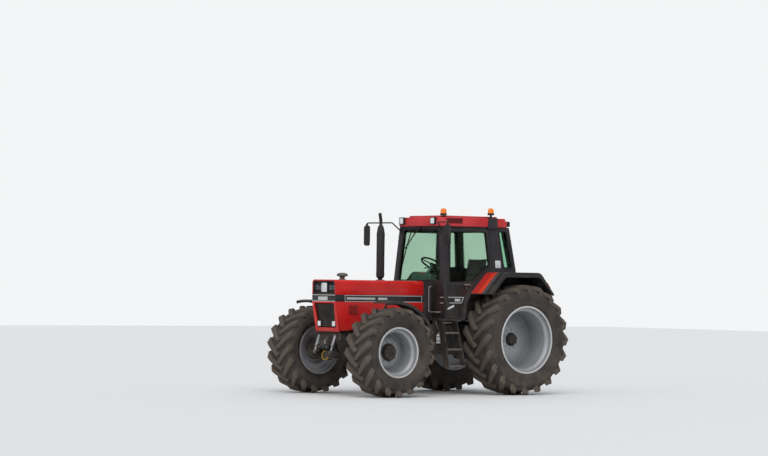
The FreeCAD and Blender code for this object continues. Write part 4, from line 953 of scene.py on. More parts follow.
@dataclass
class Wheel:
    """One wheel: lugged tyre, dished rim, hub and bolts."""

    axle: str
    side: Side
    x: float
    y: float
    tyre_r: float
    tyre_w: float
    rim_r: float
    rim_w: float
    inset: float
    hub_r: float
    hub_out: float
    hub_in: float
    lugs: int
    lug_h: float
    sweep: float
    bolts: int
    bolt_ring: float

    @property
    def body(self) -> str:
        """The wheel's body."""
        return f"wheel_{self.axle}_{self.side.word}"

    @property
    def centre(self) -> Vector:
        """The wheel's centre."""
        return at(self.x, self.side.value * self.y, self.tyre_r * 1000)

    def build(self) -> None:
        """Makes the tyre and the rim and hides the plain ones."""
        tyre = self.tyre()
        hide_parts(f"{self.axle}_tyre_{self.side.word}")
        rim = self.rim()
        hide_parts(f"{self.axle}_rim_{self.side.word}")
        self.hub()
        LOG.info("%s %s wheel built", self.axle, self.side.word)

    def tyre(self) -> bpy.types.Object:
        """The carcass and its two rows of lugs as one mesh.

        Returns:
            The tyre's object.
        """
        half = self.tyre_w / 2
        wall = self.tyre_r - self.rim_r
        bead = self.rim_w / 2 - 0.014
        crown = self.tyre_r - self.lug_h
        knots = [
            (bead, self.rim_r - 0.021), (bead + 0.004, self.rim_r + 0.010),
            (bead + 0.020, self.rim_r + 0.030),
            (half - 0.016, self.rim_r + 0.26 * wall), (half - 0.0055, self.rim_r + 0.44 * wall),
            (half - 0.008, self.rim_r + 0.60 * wall), (half - 0.026, crown - 0.075),
            (half - 0.062, crown - 0.024),
            (half * 0.6, crown - 0.010), (half * 0.3, crown - 0.003), (0.0, crown),
        ]
        right = self._smooth(knots)
        profile = right + [(-y, r) for y, r in reversed(right[:-1])]
        profile += [(-bead + 0.01, self.rim_r - 0.0215), (bead - 0.01, self.rim_r - 0.0215)]
        tyre = Bench.spin(f"{self.axle}_tyre_{self.side.word}_tread", profile, self.centre, SIDEWALL,
                          self.body,
                          segments=120, sharp=60.0)
        pieces = [tyre]
        for row, way in enumerate((1, -1)):
            lug = self._lug(way)
            count = self.lugs
            phase = math.pi / 2 - 0.022 / self.tyre_r + (math.pi / count if way != self.side.value else 0.0)
            pieces.append(REPEAT.run(REPEAT.ring(), f"lug_row_{row}", lug, TREAD, self.body, Count=count,
                                     Phase=phase, Centre=self.centre))
        return join(pieces, tyre.name)

    @staticmethod
    def _smooth(knots: Profile, steps: int = 4) -> Profile:
        """A curve through knots by Catmull-Rom arcs."""
        result = []
        for i in range(len(knots) - 1):
            p = [Vector(knots[max(0, min(len(knots) - 1, i + k))]) for k in (-1, 0, 1, 2)]
            for s in range(steps):
                t = s / steps
                spot = 0.5 * ((2 * p[1]) + (p[2] - p[0]) * t + (2 * p[0] - 5 * p[1] + 4 * p[2] - p[3]) * t ** 2
                              + (3 * p[1] - p[0] - 3 * p[2] + p[3]) * t ** 3)
                result.append(tuple(spot))
        result.append(knots[-1])
        return result

    def _lug(self, way: int) -> bpy.types.Object:
        """One lug, from the tread's middle to the shoulder, about the origin.

        Args:
            way: 1 for the row towards +Y, -1 for the other.

        Returns:
            A plain object that the ring tree repeats.
        """
        half = self.tyre_w / 2
        crown = self.tyre_r - self.lug_h
        top = self.tyre_r
        stations = [
            # share of the sweep, y and r of the foot, y and r of the top, half widths at foot and top
            (-0.02, -0.022, crown - 0.012, -0.014, top - 0.004, 0.036, 0.024),
            (0.10, 0.030, crown - 0.012, 0.030, top, 0.044, 0.031),
            (0.30, half * 0.30, crown - 0.014, half * 0.30, top - 0.001, 0.047, 0.034),
            (0.52, half * 0.52, crown - 0.016, half * 0.52, top - 0.003, 0.050, 0.037),
            (0.74, half * 0.74, crown - 0.024, half * 0.74, top - 0.007, 0.054, 0.040),
            (0.90, half * 0.88, crown - 0.040, half * 0.90, top - 0.014, 0.058, 0.043),
            (1.00, half - 0.046, crown - 0.062, half - 0.026, top - 0.034, 0.059, 0.045),
            (1.05, half - 0.038, crown - 0.100, half - 0.023, crown - 0.040, 0.057, 0.041),
            (1.09, half - 0.030, crown - 0.150, half - 0.021, crown - 0.120, 0.050, 0.034),
        ]
        sweep = math.radians(self.sweep)
        verts = []
        for i, (share, yf, rf, yt, rt, wf, wt) in enumerate(stations):
            before, after = stations[max(0, i - 1)], stations[min(len(stations) - 1, i + 1)]
            along = Vector((after[3] - before[3],
                            (after[0] - before[0]) * sweep * self.tyre_r)).normalized()
            for (y, r, w), sign in (((yf, rf, wf), -1), ((yt, rt, wt), -1), ((yt, rt, wt), 1),
                                    ((yf, rf, wf), 1)):
                shift_y = -along[1] * w * sign * (1.0 if i < 6 else 0.2)
                shift_s = along[0] * w * sign if i < 6 else w * sign
                angle = share * sweep + shift_s / self.tyre_r
                spot_y = min(y + shift_y, half - 0.0045) * way
                verts.append((r * math.cos(angle), spot_y, r * math.sin(angle)))
        faces = []
        for i in range(len(stations) - 1):
            for k in range(4):
                j = (k + 1) % 4
                faces.append([4 * i + k, 4 * i + j, 4 * i + 4 + j, 4 * i + 4 + k])
        faces += [[0, 1, 2, 3], [4 * len(stations) - 1 - k for k in range(4)]]
        mesh = bpy.data.meshes.new("lug")
        mesh.from_pydata(verts, [], faces)
        lug = bpy.data.objects.new("lug", mesh)
        bpy.context.scene.collection.objects.link(lug)
        Bench.clean(mesh, 34.0)
        return Bench.bevel(lug, 0.006, 2, 25.0)

    def rim(self) -> bpy.types.Object:
        """The barrel with its flanges and drop centre, and the dished disc, with a painted highlight on the
        outboard lip.

        Returns:
            The rim's object.
        """
        edge = self.rim_w / 2
        seat = self.rim_r - 0.0223
        face = edge - self.inset
        inner = seat - 0.009
        deep = seat - 0.055
        out = self.side.value
        barrel: Profile = [
            (edge - 0.001, inner + 0.004), (edge, inner + 0.012), (edge, self.rim_r - 0.004),
            (edge - 0.003, self.rim_r),
            (edge - 0.008, self.rim_r), (edge - 0.012, self.rim_r - 0.005), (edge - 0.0137, seat + 0.004),
            (edge - 0.0137, seat), (edge - 0.060, seat - 0.001), (edge - 0.072, seat - 0.008),
            (edge - 0.092, deep + 0.006),
            (edge - 0.104, deep), (face - 0.098, deep), (face - 0.112, deep + 0.030),
            (face - 0.118, seat - 0.002),
            (-edge + 0.0137, seat), (-edge + 0.0137, seat + 0.004), (-edge + 0.012, self.rim_r - 0.005),
            (-edge + 0.008, self.rim_r), (-edge + 0.003, self.rim_r), (-edge, self.rim_r - 0.004),
            (-edge, inner + 0.012),
            (-edge + 0.001, inner + 0.004), (-edge + 0.010, inner - 0.002), (face - 0.126, inner - 0.003),
            (face - 0.116, deep - 0.004), (face - 0.104, deep - 0.009), (edge - 0.108, deep - 0.009),
            (edge - 0.096, deep - 0.002), (edge - 0.078, inner - 0.010), (edge - 0.066, inner - 0.002),
            (edge - 0.012, inner),
        ]
        disc: Profile = [
            (face, 0.03), (face, self.hub_r + 0.060), (face - 0.004, self.hub_r + 0.085),
            (face - 0.030, (self.hub_r + deep) / 2 + 0.030), (face - 0.056, deep - 0.085),
            (face - 0.064, deep - 0.050),
            (face - 0.066, deep - 0.007), (face - 0.080, deep - 0.007), (face - 0.079, deep - 0.052),
            (face - 0.070, deep - 0.092), (face - 0.044, (self.hub_r + deep) / 2 + 0.024),
            (face - 0.018, self.hub_r + 0.080), (face - 0.016, self.hub_r + 0.055), (face - 0.016, 0.03),
        ]
        name = f"{self.axle}_rim_{self.side.word}_dish"
        turned = [
            Bench.spin(name, [(y * out, r) for y, r in barrel], self.centre, SILVER, self.body,
                       segments=120),
            Bench.spin("disc", [(y * out, r) for y, r in disc], self.centre, SILVER, self.body,
                       segments=96),
        ]
        rim = join(turned, name)
        # The outboard flange's faces take the paler silver: a painted highlight along the rim's lip.
        rim.data.materials.append(RIM_LIP_HIGHLIGHT.material())
        for face_ in rim.data.polygons:
            spot = face_.center - self.centre
            if math.hypot(spot.x, spot.z) > self.rim_r - 0.030 and spot.y * out > edge - 0.016:
                face_.material_index = 1
        return rim

    def hub(self) -> None:
        """Hub with its cap, drum inside the wheel, and the ring of wheel bolts."""
        out = self.side.value
        face = self.rim_w / 2 - self.inset
        r = self.hub_r
        end = self.hub_out
        cap: Profile = [
            (face - 0.002, 0.0), (face - 0.002, r + 0.012), (face + 0.010, r + 0.012), (face + 0.016, r),
            (end - 0.022, r - 0.004), (end - 0.008, r - 0.014), (end, r * 0.62), (end, r * 0.40),
            (end - 0.008, r * 0.36), (end - 0.008, 0.0),
        ]
        drum: Profile = [
            (self.hub_in + 0.001, 0.0), (self.hub_in + 0.001, r + 0.035), (face - 0.050, r + 0.040),
            (face - 0.020, r + 0.030), (face - 0.0165, 0.0),
        ]
        name = f"{self.axle}_hub_{self.side.word}"
        cover = Bench.spin(name, [(y * out, q) for y, q in cap], self.centre, SATIN_BLACK, self.body,
                           segments=64)
        inner = Bench.spin(name + "_drum", [(y * out, q) for y, q in drum], self.centre, CAST, self.body,
                           segments=64)
        join([cover, inner], name)
        self._bolts("wheel_bolts", self.bolts, self.bolt_ring, face - 0.001, 0.013, 0.018, SILVER)
        self._bolts("cap_bolts", max(6, self.bolts // 2 + 3), r * 0.80, end - 0.004, 0.008, 0.007,
                    SATIN_BLACK)

    def _bolts(self, label: str, count: int, ring: float, start: float, radius: float, height: float,
               finish: Finish) -> None:
        """A ring of hexagon heads on their washers, facing outwards."""
        out = self.side.value
        verts, faces = [], []
        for y, r, sides in ((start, radius * 1.35, 6), (start + 0.004, radius * 1.35, 6),
                            (start + 0.004, radius, 6),
                            (start + height - 0.002, radius, 6), (start + height, radius * 0.86, 6)):
            for k in range(sides):
                turn = math.pi / 3 * k
                verts.append((ring + r * math.cos(turn), y * out, r * math.sin(turn)))
        for row in range(4):
            for k in range(6):
                j = (k + 1) % 6
                faces.append([row * 6 + k, row * 6 + j, row * 6 + 6 + j, row * 6 + 6 + k])
        faces += [list(range(6)), [29 - k for k in range(6)]]
        mesh = bpy.data.meshes.new("bolt")
        mesh.from_pydata(verts, [], faces)
        bolt = bpy.data.objects.new("bolt", mesh)
        bpy.context.scene.collection.objects.link(bolt)
        Bench.clean(mesh, 30.0)
        REPEAT.run(REPEAT.ring(), f"{self.axle}_{label}_{self.side.word}", bolt, finish, self.body,
                   Count=count,
                   Phase=0.2, Centre=self.centre)


def join(pieces: list[bpy.types.Object], name: str) -> bpy.types.Object:
    """Joins pieces on one body into the first of them.

    Args:
        pieces: the objects, each with its materials.
        name: the joined object's name.

    Returns:
        The joined object.
    """
    first = pieces[0]
    materials = []
    work = bmesh.new()
    for piece in pieces:
        start = len(work.faces)
        work.from_mesh(piece.data)
        work.faces.ensure_lookup_table()
        mapping = []
        for material in piece.data.materials:
            if material not in materials:
                materials.append(material)
            mapping.append(materials.index(material))
        for face in work.faces[start:]:
            face.material_index = mapping[min(face.material_index, len(mapping) - 1)] if mapping else 0
    mesh = bpy.data.meshes.new(name)
    work.to_mesh(mesh)
    work.free()
    for material in materials:
        mesh.materials.append(material)
    old = first.data
    first.data = mesh
    bpy.data.meshes.remove(old)
    for piece in pieces[1:]:
        bpy.data.objects.remove(piece)
    first.name = name
    return first


def wheels() -> list[Wheel]:
    """The four wheels, rear then front."""
    made = []
    for side in Side:
        made.append(Wheel("rear", side, 0, 931, 0.912, 0.650, 0.559, 0.584, 0.413, 0.100, -0.055, -0.255,
                          20, 0.052,
                          20.0, 10, 0.150))
        made.append(Wheel("front", side, 2742, 1040, 0.715, 0.600, 0.406, 0.457, 0.275, 0.130, 0.020,
                          -0.165, 18,
                          0.046, 21.0, 8, 0.168))
    return made


# Cab and roof

def mm(points: list, plane: str = "xz") -> list:
    """Outline corners in the model's metres from layout millimetres.

    Args:
        points: corners (u, v) or (u, v, radius).
        plane: the plane that they lie in; its first direction is X unless it is "yz".

    Returns:
        The corners in metres.
    """
    shift = 0.0 if plane == "yz" else REAR_AXLE_X
    return [(p[0] / 1000 - shift, *(v / 1000 for v in p[1:])) for p in points]


def grown(points: list, ways: list, by: float) -> list:
    """An outline whose corners are moved outwards.

    Args:
        points: corners (u, v, radius).
        ways: for each corner the signs of its move.
        by: how far it moves.

    Returns:
        The moved corners.
    """
    return [(u + a * by, v + b * by, r + by) for (u, v, r), (a, b) in zip(points, ways)]


def handed(made: bpy.types.Object, side: Side) -> bpy.types.Object:
    """Mirrors a left-hand piece for the right side.

    Args:
        made: the object, made for the left.
        side: the side that it is for.

    Returns:
        The same object.
    """
    if side is Side.RIGHT:
        made.data.transform(Matrix.Scale(-1, 4, Vector((0, 1, 0))))
        made.data.flip_normals()
        made.data.update()
    return made


def lean_back(spot: Vector) -> Vector:
    """Where a place on the upright front wall comes to once it leans back with the windscreen."""
    return Vector((spot.x - (spot.z - 1.870) * 0.04821, spot.y, spot.z))


@dataclass(frozen=True)
class Wall:
    """A cab side's own upright layout, toed in towards the front and leaning in towards the roof."""

    side: Side
    toe: float = 4.306
    lean: float = 6.034

    def put(self, made: bpy.types.Object) -> bpy.types.Object:
        """Moves a piece from the upright layout onto the wall.

        Args:
            made: the object, laid out at the left side.

        Returns:
            The same object.
        """
        pivot = Matrix.Translation(at(450, 720, 1870))
        toe = math.radians(self.toe)
        lean = Matrix.Rotation(math.radians(self.lean), 4, Vector((math.cos(toe), -math.sin(toe), 0)))
        made.data.transform(pivot @ lean @ Matrix.Rotation(-toe, 4, "Z") @ pivot.inverted())
        made.data.update()
        return handed(made, self.side)


@dataclass
class CabSide:
    """What is fixed to one side of the cab: seals, door skin, silver lines, blank plates and the roof bracket."""

    side: Side

    @property
    def door(self) -> str:
        """The body of this side's door."""
        return f"door_{self.side.word}"

    def build(self) -> None:
        """Makes every piece of this side."""
        self.seals()
        self.skin()
        self.marks()
        self.bracket()
        LOG.info("%s cab side built", self.side.word)

    def seals(self) -> None:
        """Rubber seals round the door's window and the rear quarter window."""
        wall = Wall(self.side)
        windows = {
            self.door: ([(1182.7, 2686, 30), (1223.3, 1842, 30), (770, 1862, 60), (385, 2142, 40),
                         (427, 2686, 30)],
                        [(1, 1), (1, -1), (-1, -1), (-1, -1), (-1, 1)]),
            "chassis": ([(165, 2703, 25), (95, 2100, 25), (-80, 2100, 30), (14, 2703, 30)],
                        [(1, 1), (1, -1), (-1, -1), (-1, 1)]),
        }
        for body, (corners, ways) in windows.items():
            for label, span in (("outer", (0.718, 0.724)), ("inner", (0.671, 0.677))):
                wall.put(Bench.ring_plate(
                    f"window_seal_{label}_{body}_{self.side.word}", mm(grown(corners, ways, 11)),
                    mm(grown(corners, ways, -9)), span, "xz", SEAL, body,
                ))

    def skin(self) -> None:
        """Dark lower door skin with the silver outline and its handle's cover."""
        wall = Wall(self.side)
        word = self.side.word
        wall.put(Bench.plate(f"door_skin_{word}", mm([
            (1265, 1806, 12), (1290, 1275, 12), (1018, 1275, 40), (941, 1645, 60), (806, 1806, 40),
        ]), (0.7195, 0.7225), "xz", DOOR_BLACK, self.door, 0.0012))
        wall.put(Bench.plate(f"door_line_{word}", mm([
            (1262, 1602), (941, 1602), (1000, 1499), (1266, 1499), (1266, 1509), (1006, 1509), (958, 1592),
            (1262, 1592),
        ]), (0.7222, 0.7240), "xz", SILVER_LINE, self.door, 0.0))
        wall.put(Bench.plate(f"door_badge_{word}", mm([
            (1130, 1528, 6), (1130, 1572, 6), (1010, 1572, 6), (1030, 1528, 6),
        ]), (0.7222, 0.7245), "xz", SILVER_LINE, self.door, 0.001))
        wall.put(Bench.plate(f"door_slanted_badge_{word}", mm([
            (1283, 1392, 4), (1283, 1418, 4), (1222, 1446, 4), (1152, 1474, 4), (1152, 1440, 4),
            (1214, 1416, 4),
        ]), (0.7222, 0.7240), "xz", PLATE, self.door, 0.0))
        wall.put(Bench.box(f"door_handle_cover_{word}", at(814, 741, 1787), at(936, 758, 1819), RAIL_GREY,
                           self.door, 0.006))
        wall.put(Bench.spin(f"door_lock_{word}", [
            (0.0, 0.0), (0.0, 0.016), (0.006, 0.015), (0.007, 0.009), (0.004, 0.007), (0.004, 0.0),
        ], at(875, 722, 1752), RAIL_GREY, self.door, "y", 24))

    def marks(self) -> None:
        """Blank sign on the rear pillar and the short silver lines on the front wall."""
        word = self.side.word
        Wall(self.side).put(Bench.plate(f"pillar_sign_{word}", mm([
            (267, 2094, 8), (267, 2216, 8), (156, 2216, 8), (156, 2094, 8),
        ]), (0.7195, 0.7215), "xz", PLATE, "chassis", 0.0006))
        cowl = Bench.plate(f"cowl_skin_{word}",
                           mm([(356, 1262, 10), (356, 1850, 10), (640, 1850, 10), (694, 1262, 10)], "yz"),
                           (at(1329.6, 0, 0).x, at(1331.4, 0, 0).x), "yz", DOOR_BLACK, "chassis", 0.0006)
        handed(cowl, self.side)
        for level in (1597, 1504):
            handed(Bench.box(f"cowl_line_{level}_{word}", at(1331.0, 566, level - 5),
                             at(1332.8, 660, level + 5),
                             SILVER_LINE, "chassis", 0.0), self.side)

    def bracket(self) -> None:
        """Rear pillar's head, which laps over the roof's side."""
        word = self.side.word
        head = Bench.plate(f"pillar_head_{word}", mm([
            (208, 2744, 6), (208, 2919, 14), (352, 2919, 14), (398, 2860, 20), (398, 2744, 6),
        ]), (0.656, 0.680), "xz", CAB_GREY, "chassis", 0.004)
        Bench.warp(head, lambda v: Vector((v.x, v.y - (v.x + REAR_AXLE_X - 0.300) * 0.063, v.z)))
        handed(head, self.side)
        shelf = Bench.box(f"pillar_shelf_{word}", at(232, 560, 2912.6), at(364, 664, 2920), CAB_GREY,
                          "chassis", 0.003)
        handed(shelf, self.side)


@dataclass
class CabFront:
    """Windscreen seal and wiper, steering wheel, cluster and the side console with its levers."""

    wheel_at: Point = (1030, 0, 2140)
    tilt: float = -32.0

    def build(self) -> None:
        """Makes every piece."""
        self.seal()
        self.wiper()
        self.steering()
        self.cluster()
        self.console()
        LOG.info("cab front built")

    def seal(self) -> None:
        """Rubber seal round the windscreen."""
        corners = [(443.5, 2712, 34), (547, 1870, 34), (-547, 1870, 34), (-443.5, 2712, 34)]
        ways = [(1, 1), (1, -1), (-1, -1), (-1, 1)]
        ring = Bench.ring_plate("screen_seal", mm(grown(corners, ways, 12), "yz"),
                                mm(grown(corners, ways, -12), "yz"),
                                (at(1326, 0, 0).x, at(1334, 0, 0).x), "yz", SEAL, "chassis")
        Bench.warp(ring, lean_back)
        corners = [(520, 2700, 30), (590, 2080, 30), (-590, 2080, 30), (-520, 2700, 30)]
        back = Bench.ring_plate("rear_pane_seal", mm(grown(corners, ways, 12), "yz"),
                                mm(grown(corners, ways, -12), "yz"), (-0.006, 0.002), "yz", SEAL,
                                "chassis")
        Bench.warp(back, lambda v: Vector((v.x - REAR_AXLE_X - 0.150 + (v.z - 2.060) * 0.1631, v.y, v.z)))

    def wiper(self) -> None:
        """Parked wiper: motor cap on the top rail, arm and blade ahead of the glass."""
        motor = Bench.box("wiper_motor", at(1326, -62, 2712), at(1362, 12, 2756), SATIN_BLACK, "chassis",
                          0.008)
        Bench.warp(motor, lean_back)
        arm = Bench.tube("wiper_arm", [at(1350, -29, 2733), at(1352, -120, 2650), at(1340, -360, 2405)],
                         0.05, 0.007,
                         SATIN_BLACK, "chassis", 10)
        Bench.warp(arm, lean_back)
        second = Bench.tube("wiper_guide",
                            [at(1350, -60, 2728), at(1352, -160, 2630), at(1340, -372, 2436)], 0.05,
                            0.004, SATIN_BLACK, "chassis", 8)
        Bench.warp(second, lean_back)
        blade = Bench.tube("wiper_blade",
                           [at(1322, -262, 2690), at(1322, -372, 2400), at(1322, -455, 2123)], 0.3, 0.009,
                           SEAL, "chassis", 8)
        Bench.warp(blade, lean_back)
        clip = Bench.box("wiper_clip", at(1318, -378, 2392), at(1346, -348, 2430), SATIN_BLACK, "chassis",
                         0.004)
        Bench.warp(clip, lean_back)

    def steering(self) -> None:
        """Padded rim, three spokes, hub and the column with its boot."""
        turn = Matrix.Translation(at(*self.wheel_at)) @ Matrix.Rotation(math.radians(self.tilt), 4, "Y")
        ring = [(0.015 * math.sin(math.pi * k / 6),
                 0.200 + 0.015 * math.cos(math.pi * k / 6)) for k in range(12)]
        zero = Vector((0, 0, 0))
        parts = [
            Bench.spin("steering_rim", ring, zero, SATIN_BLACK, "chassis", "z", 72),
            Bench.spin("hub", [(-0.022, 0.0), (-0.022, 0.046), (-0.004, 0.050), (0.008, 0.044),
                               (0.012, 0.0)], zero,
                       SATIN_BLACK, "chassis", "z", 40, False),
            Bench.spin("column",
                       [(-0.325, 0.0), (-0.325, 0.055), (-0.180, 0.044), (-0.150, 0.030), (-0.020, 0.027),
                                  (-0.020, 0.0)], zero, CONSOLE, "chassis", "z", 32, False),
        ]
        for angle in (90, 210, 330):
            way = Vector((math.cos(math.radians(angle)), math.sin(math.radians(angle)), 0))
            parts.append(Bench.tube("spoke", [way * 0.03 - Vector((0, 0, 0.006)),
                                              way * 0.12 - Vector((0, 0, 0.006)),
                                              way * 0.196], 0.2, 0.009, SATIN_BLACK, "chassis", 10))
        wheel = join(parts, "steering_rim")
        wheel.data.transform(turn)
        wheel.data.update()
        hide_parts("steering_wheel")
        for label, side in (("lights", 1), ("shuttle", -1)):
            start = turn @ Vector((0, side * 0.03, -0.075))
            end = turn @ Vector((-0.02, side * 0.170, -0.060))
            Bench.tube(f"stalk_{label}", [start, (start + end) / 2 + Vector((0, 0, 0.004)), end], 0.1,
                       0.006, SATIN_BLACK,
                       "chassis", 8)
            Bench.spin(f"stalk_knob_{label}",
                       [(-0.02, 0.0), (-0.02, 0.011), (0.012, 0.013), (0.02, 0.008), (0.02, 0.0)],
                       end, CONSOLE, "chassis", "y", 20, False)

    def cluster(self) -> None:
        """Cluster glass with a dark bezel and a row of switches on the console's slope."""
        face = Bench.plate("cluster_bezel", mm([(-190, 1850, 20), (-190, 1945, 20), (190, 1945, 20),
                                                (190, 1850, 20)], "yz"),
                           (-0.006, 0.004), "yz", SATIN_BLACK, "chassis", 0.003)
        Bench.warp(face, lambda v: Vector((v.x + 1.148 - REAR_AXLE_X + (v.z - 1.890) * 0.393, v.y, v.z)))
        for y in (-95, 95):
            dial = Bench.plate("cluster_dial_" + ("right" if y < 0 else "left"), mm([
                (y - 38, 1862, 30), (y - 38, 1934, 30), (y + 38, 1934, 30), (y + 38, 1862, 30),
            ], "yz"), (-0.009, -0.004), "yz", LAMP_DARK, "chassis", 0.001)
            Bench.warp(dial,
                       lambda v: Vector((v.x + 1.148 - REAR_AXLE_X + (v.z - 1.890) * 0.393, v.y, v.z)))
        switches = REPEAT.run(REPEAT.row(), "dash_switches", Bench.block((0.012, 0.026, 0.020)),
                              SATIN_BLACK, "chassis",
                              Count=7, Start=(0, 0, 0), Step=(0, 0.046, 0))
        Bench.warp(switches, lambda v: v + at(1108, -138, 1760))

    def console(self) -> None:
        """Right-hand console on the wheelhouse with three levers."""
        Bench.plate("side_console", mm([
            (180, 1500, 40), (180, 1790, 60), (620, 1830, 60), (700, 1760, 40), (640, 1500, 40),
        ]), (-0.5605, -0.400), "xz", CONSOLE, "chassis", 0.010)
        for i, x in enumerate((400, 480, 560)):
            top = at(x + 20, -470, 1940)
            Bench.tube(f"lever_{i}", [at(x, -470, 1800), at(x + 6, -470, 1870), top], 0.1, 0.006, CHROME,
                       "chassis", 10)
            Bench.spin(f"lever_knob_{i}",
                       [(-0.022, 0.0), (-0.022, 0.010), (0.004, 0.018), (0.020, 0.014), (0.026, 0.0)],
                       top, (ORANGE, SATIN_BLACK, YELLOW)[i], "chassis", "z", 24, False)


@dataclass
class Seat:
    """Driver's cushion and backrest, crowned, with sewn channels and piping."""

    half: float = 0.240
    base: Point = (445, 0, 1592)
    back_foot: Point = (128, 0, 1722)
    back_top: Point = (48, 0, 2238)

    def build(self) -> None:
        """Makes both pads and hides the plain ones."""
        cushion = self.pad("seat_cushion", 0.242, 0.236, 0.088, 0.018, (-0.34, 0.0, 0.34))
        cushion.data.transform(Matrix.Translation(at(*self.base) + Vector((0, 0, 0.018)))
                               @ Matrix.Rotation(math.radians(-2.4), 4, "Y"))
        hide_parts("seat_cushions")
        foot, top = at(*self.back_foot), at(*self.back_top)
        rise = (top - foot).normalized()
        facing = Vector((0, 1, 0)).cross(rise).normalized()
        back = self.pad("seat_backrest", (top - foot).length / 2, 0.228, 0.060, 0.034,
                        (-0.5, -0.15, 0.2, 0.55))
        turn = Matrix((rise, Vector((0, -1, 0)), facing)).transposed().to_4x4()
        back.data.transform(Matrix.Translation((foot + top) / 2) @ turn)
        back.data.update()
        LOG.info("seat built")

    @staticmethod
    def pad(name: str, half_u: float, half_v: float, rise: float, drop: float,
            seams: tuple) -> bpy.types.Object:
        """A stuffed pad lying flat about the origin.

        Args:
            name: the piece's name.
            half_u: half its length.
            half_v: half its width.
            rise: the height of its crown.
            drop: how far its underside bulges down.
            seams: where channels cross the middle panel, as shares of half its length.

        Returns:
            The new object.
        """
        steps_u, steps_v = 56, 52
        verts, faces = [], []
        for way, depth in ((1, rise), (-1, drop)):
            for i in range(steps_u + 1):
                u = -1 + 2 * i / steps_u
                for k in range(steps_v + 1):
                    v = -1 + 2 * k / steps_v
                    pull = 1 - 0.035 * (1 - abs(v) ** 2) * abs(u) ** 8
                    pinch = 1 - 0.035 * (1 - abs(u) ** 2) * abs(v) ** 8
                    round_off = max(0.0, (1 - u ** 8) * (1 - v ** 8)) ** 0.42
                    crown = 0.80 + 0.20 * (1 - u * u) * (1 - v * v)
                    groove = 0.0
                    if way > 0:
                        groove = 0.013 * math.exp(-((abs(v) - 0.60) / 0.035) ** 2)
                        if abs(v) < 0.60:
                            groove += sum(0.009 * math.exp(-((u - s) / 0.030) ** 2) for s in seams)
                        crown += 0.07 * max(0.0, (abs(v) - 0.60) / 0.40) * (1 - abs(v))
                    verts.append((u * half_u * pull, v * half_v * pinch,
                                  way * depth * round_off * crown - groove * round_off))
        row = steps_v + 1
        size = (steps_u + 1) * row
        for half in (0, size):
            for i in range(steps_u):
                for k in range(steps_v):
                    a = half + i * row + k
                    faces.append([a, a + 1, a + row + 1, a + row])
        made = Bench.piece(name, verts, faces, FABRIC, "chassis", 70.0)
        edge = [Vector(verts[k]) for k in range(row)]
        edge += [Vector(verts[i * row + row - 1]) for i in range(1, steps_u + 1)]
        edge += [Vector(verts[steps_u * row + k]) for k in range(row - 2, -1, -1)]
        edge += [Vector(verts[i * row]) for i in range(steps_u - 1, 0, -1)]
        return join([made, Seat._piping(edge)], name)

    @staticmethod
    def _piping(edge: list[Vector]) -> bpy.types.Object:
        """A thin cord round a closed line of points."""
        verts, faces, sides = [], [], 8
        count = len(edge)
        for i, spot in enumerate(edge):
            ahead = (edge[(i + 1) % count] - edge[i - 1]).normalized()
            out = ahead.cross(Vector((0, 0, 1))).normalized()
            for k in range(sides):
                turn = 2 * math.pi * k / sides
                verts.append(spot + (out * math.cos(turn) + Vector((0, 0, 1)) * math.sin(turn)) * 0.0045)
        for i in range(count):
            for k in range(sides):
                j, n = (k + 1) % sides, (i + 1) % count
                faces.append([i * sides + k, i * sides + j, n * sides + j, n * sides + k])
        return Bench.piece("piping", verts, faces, SEAL, "chassis")


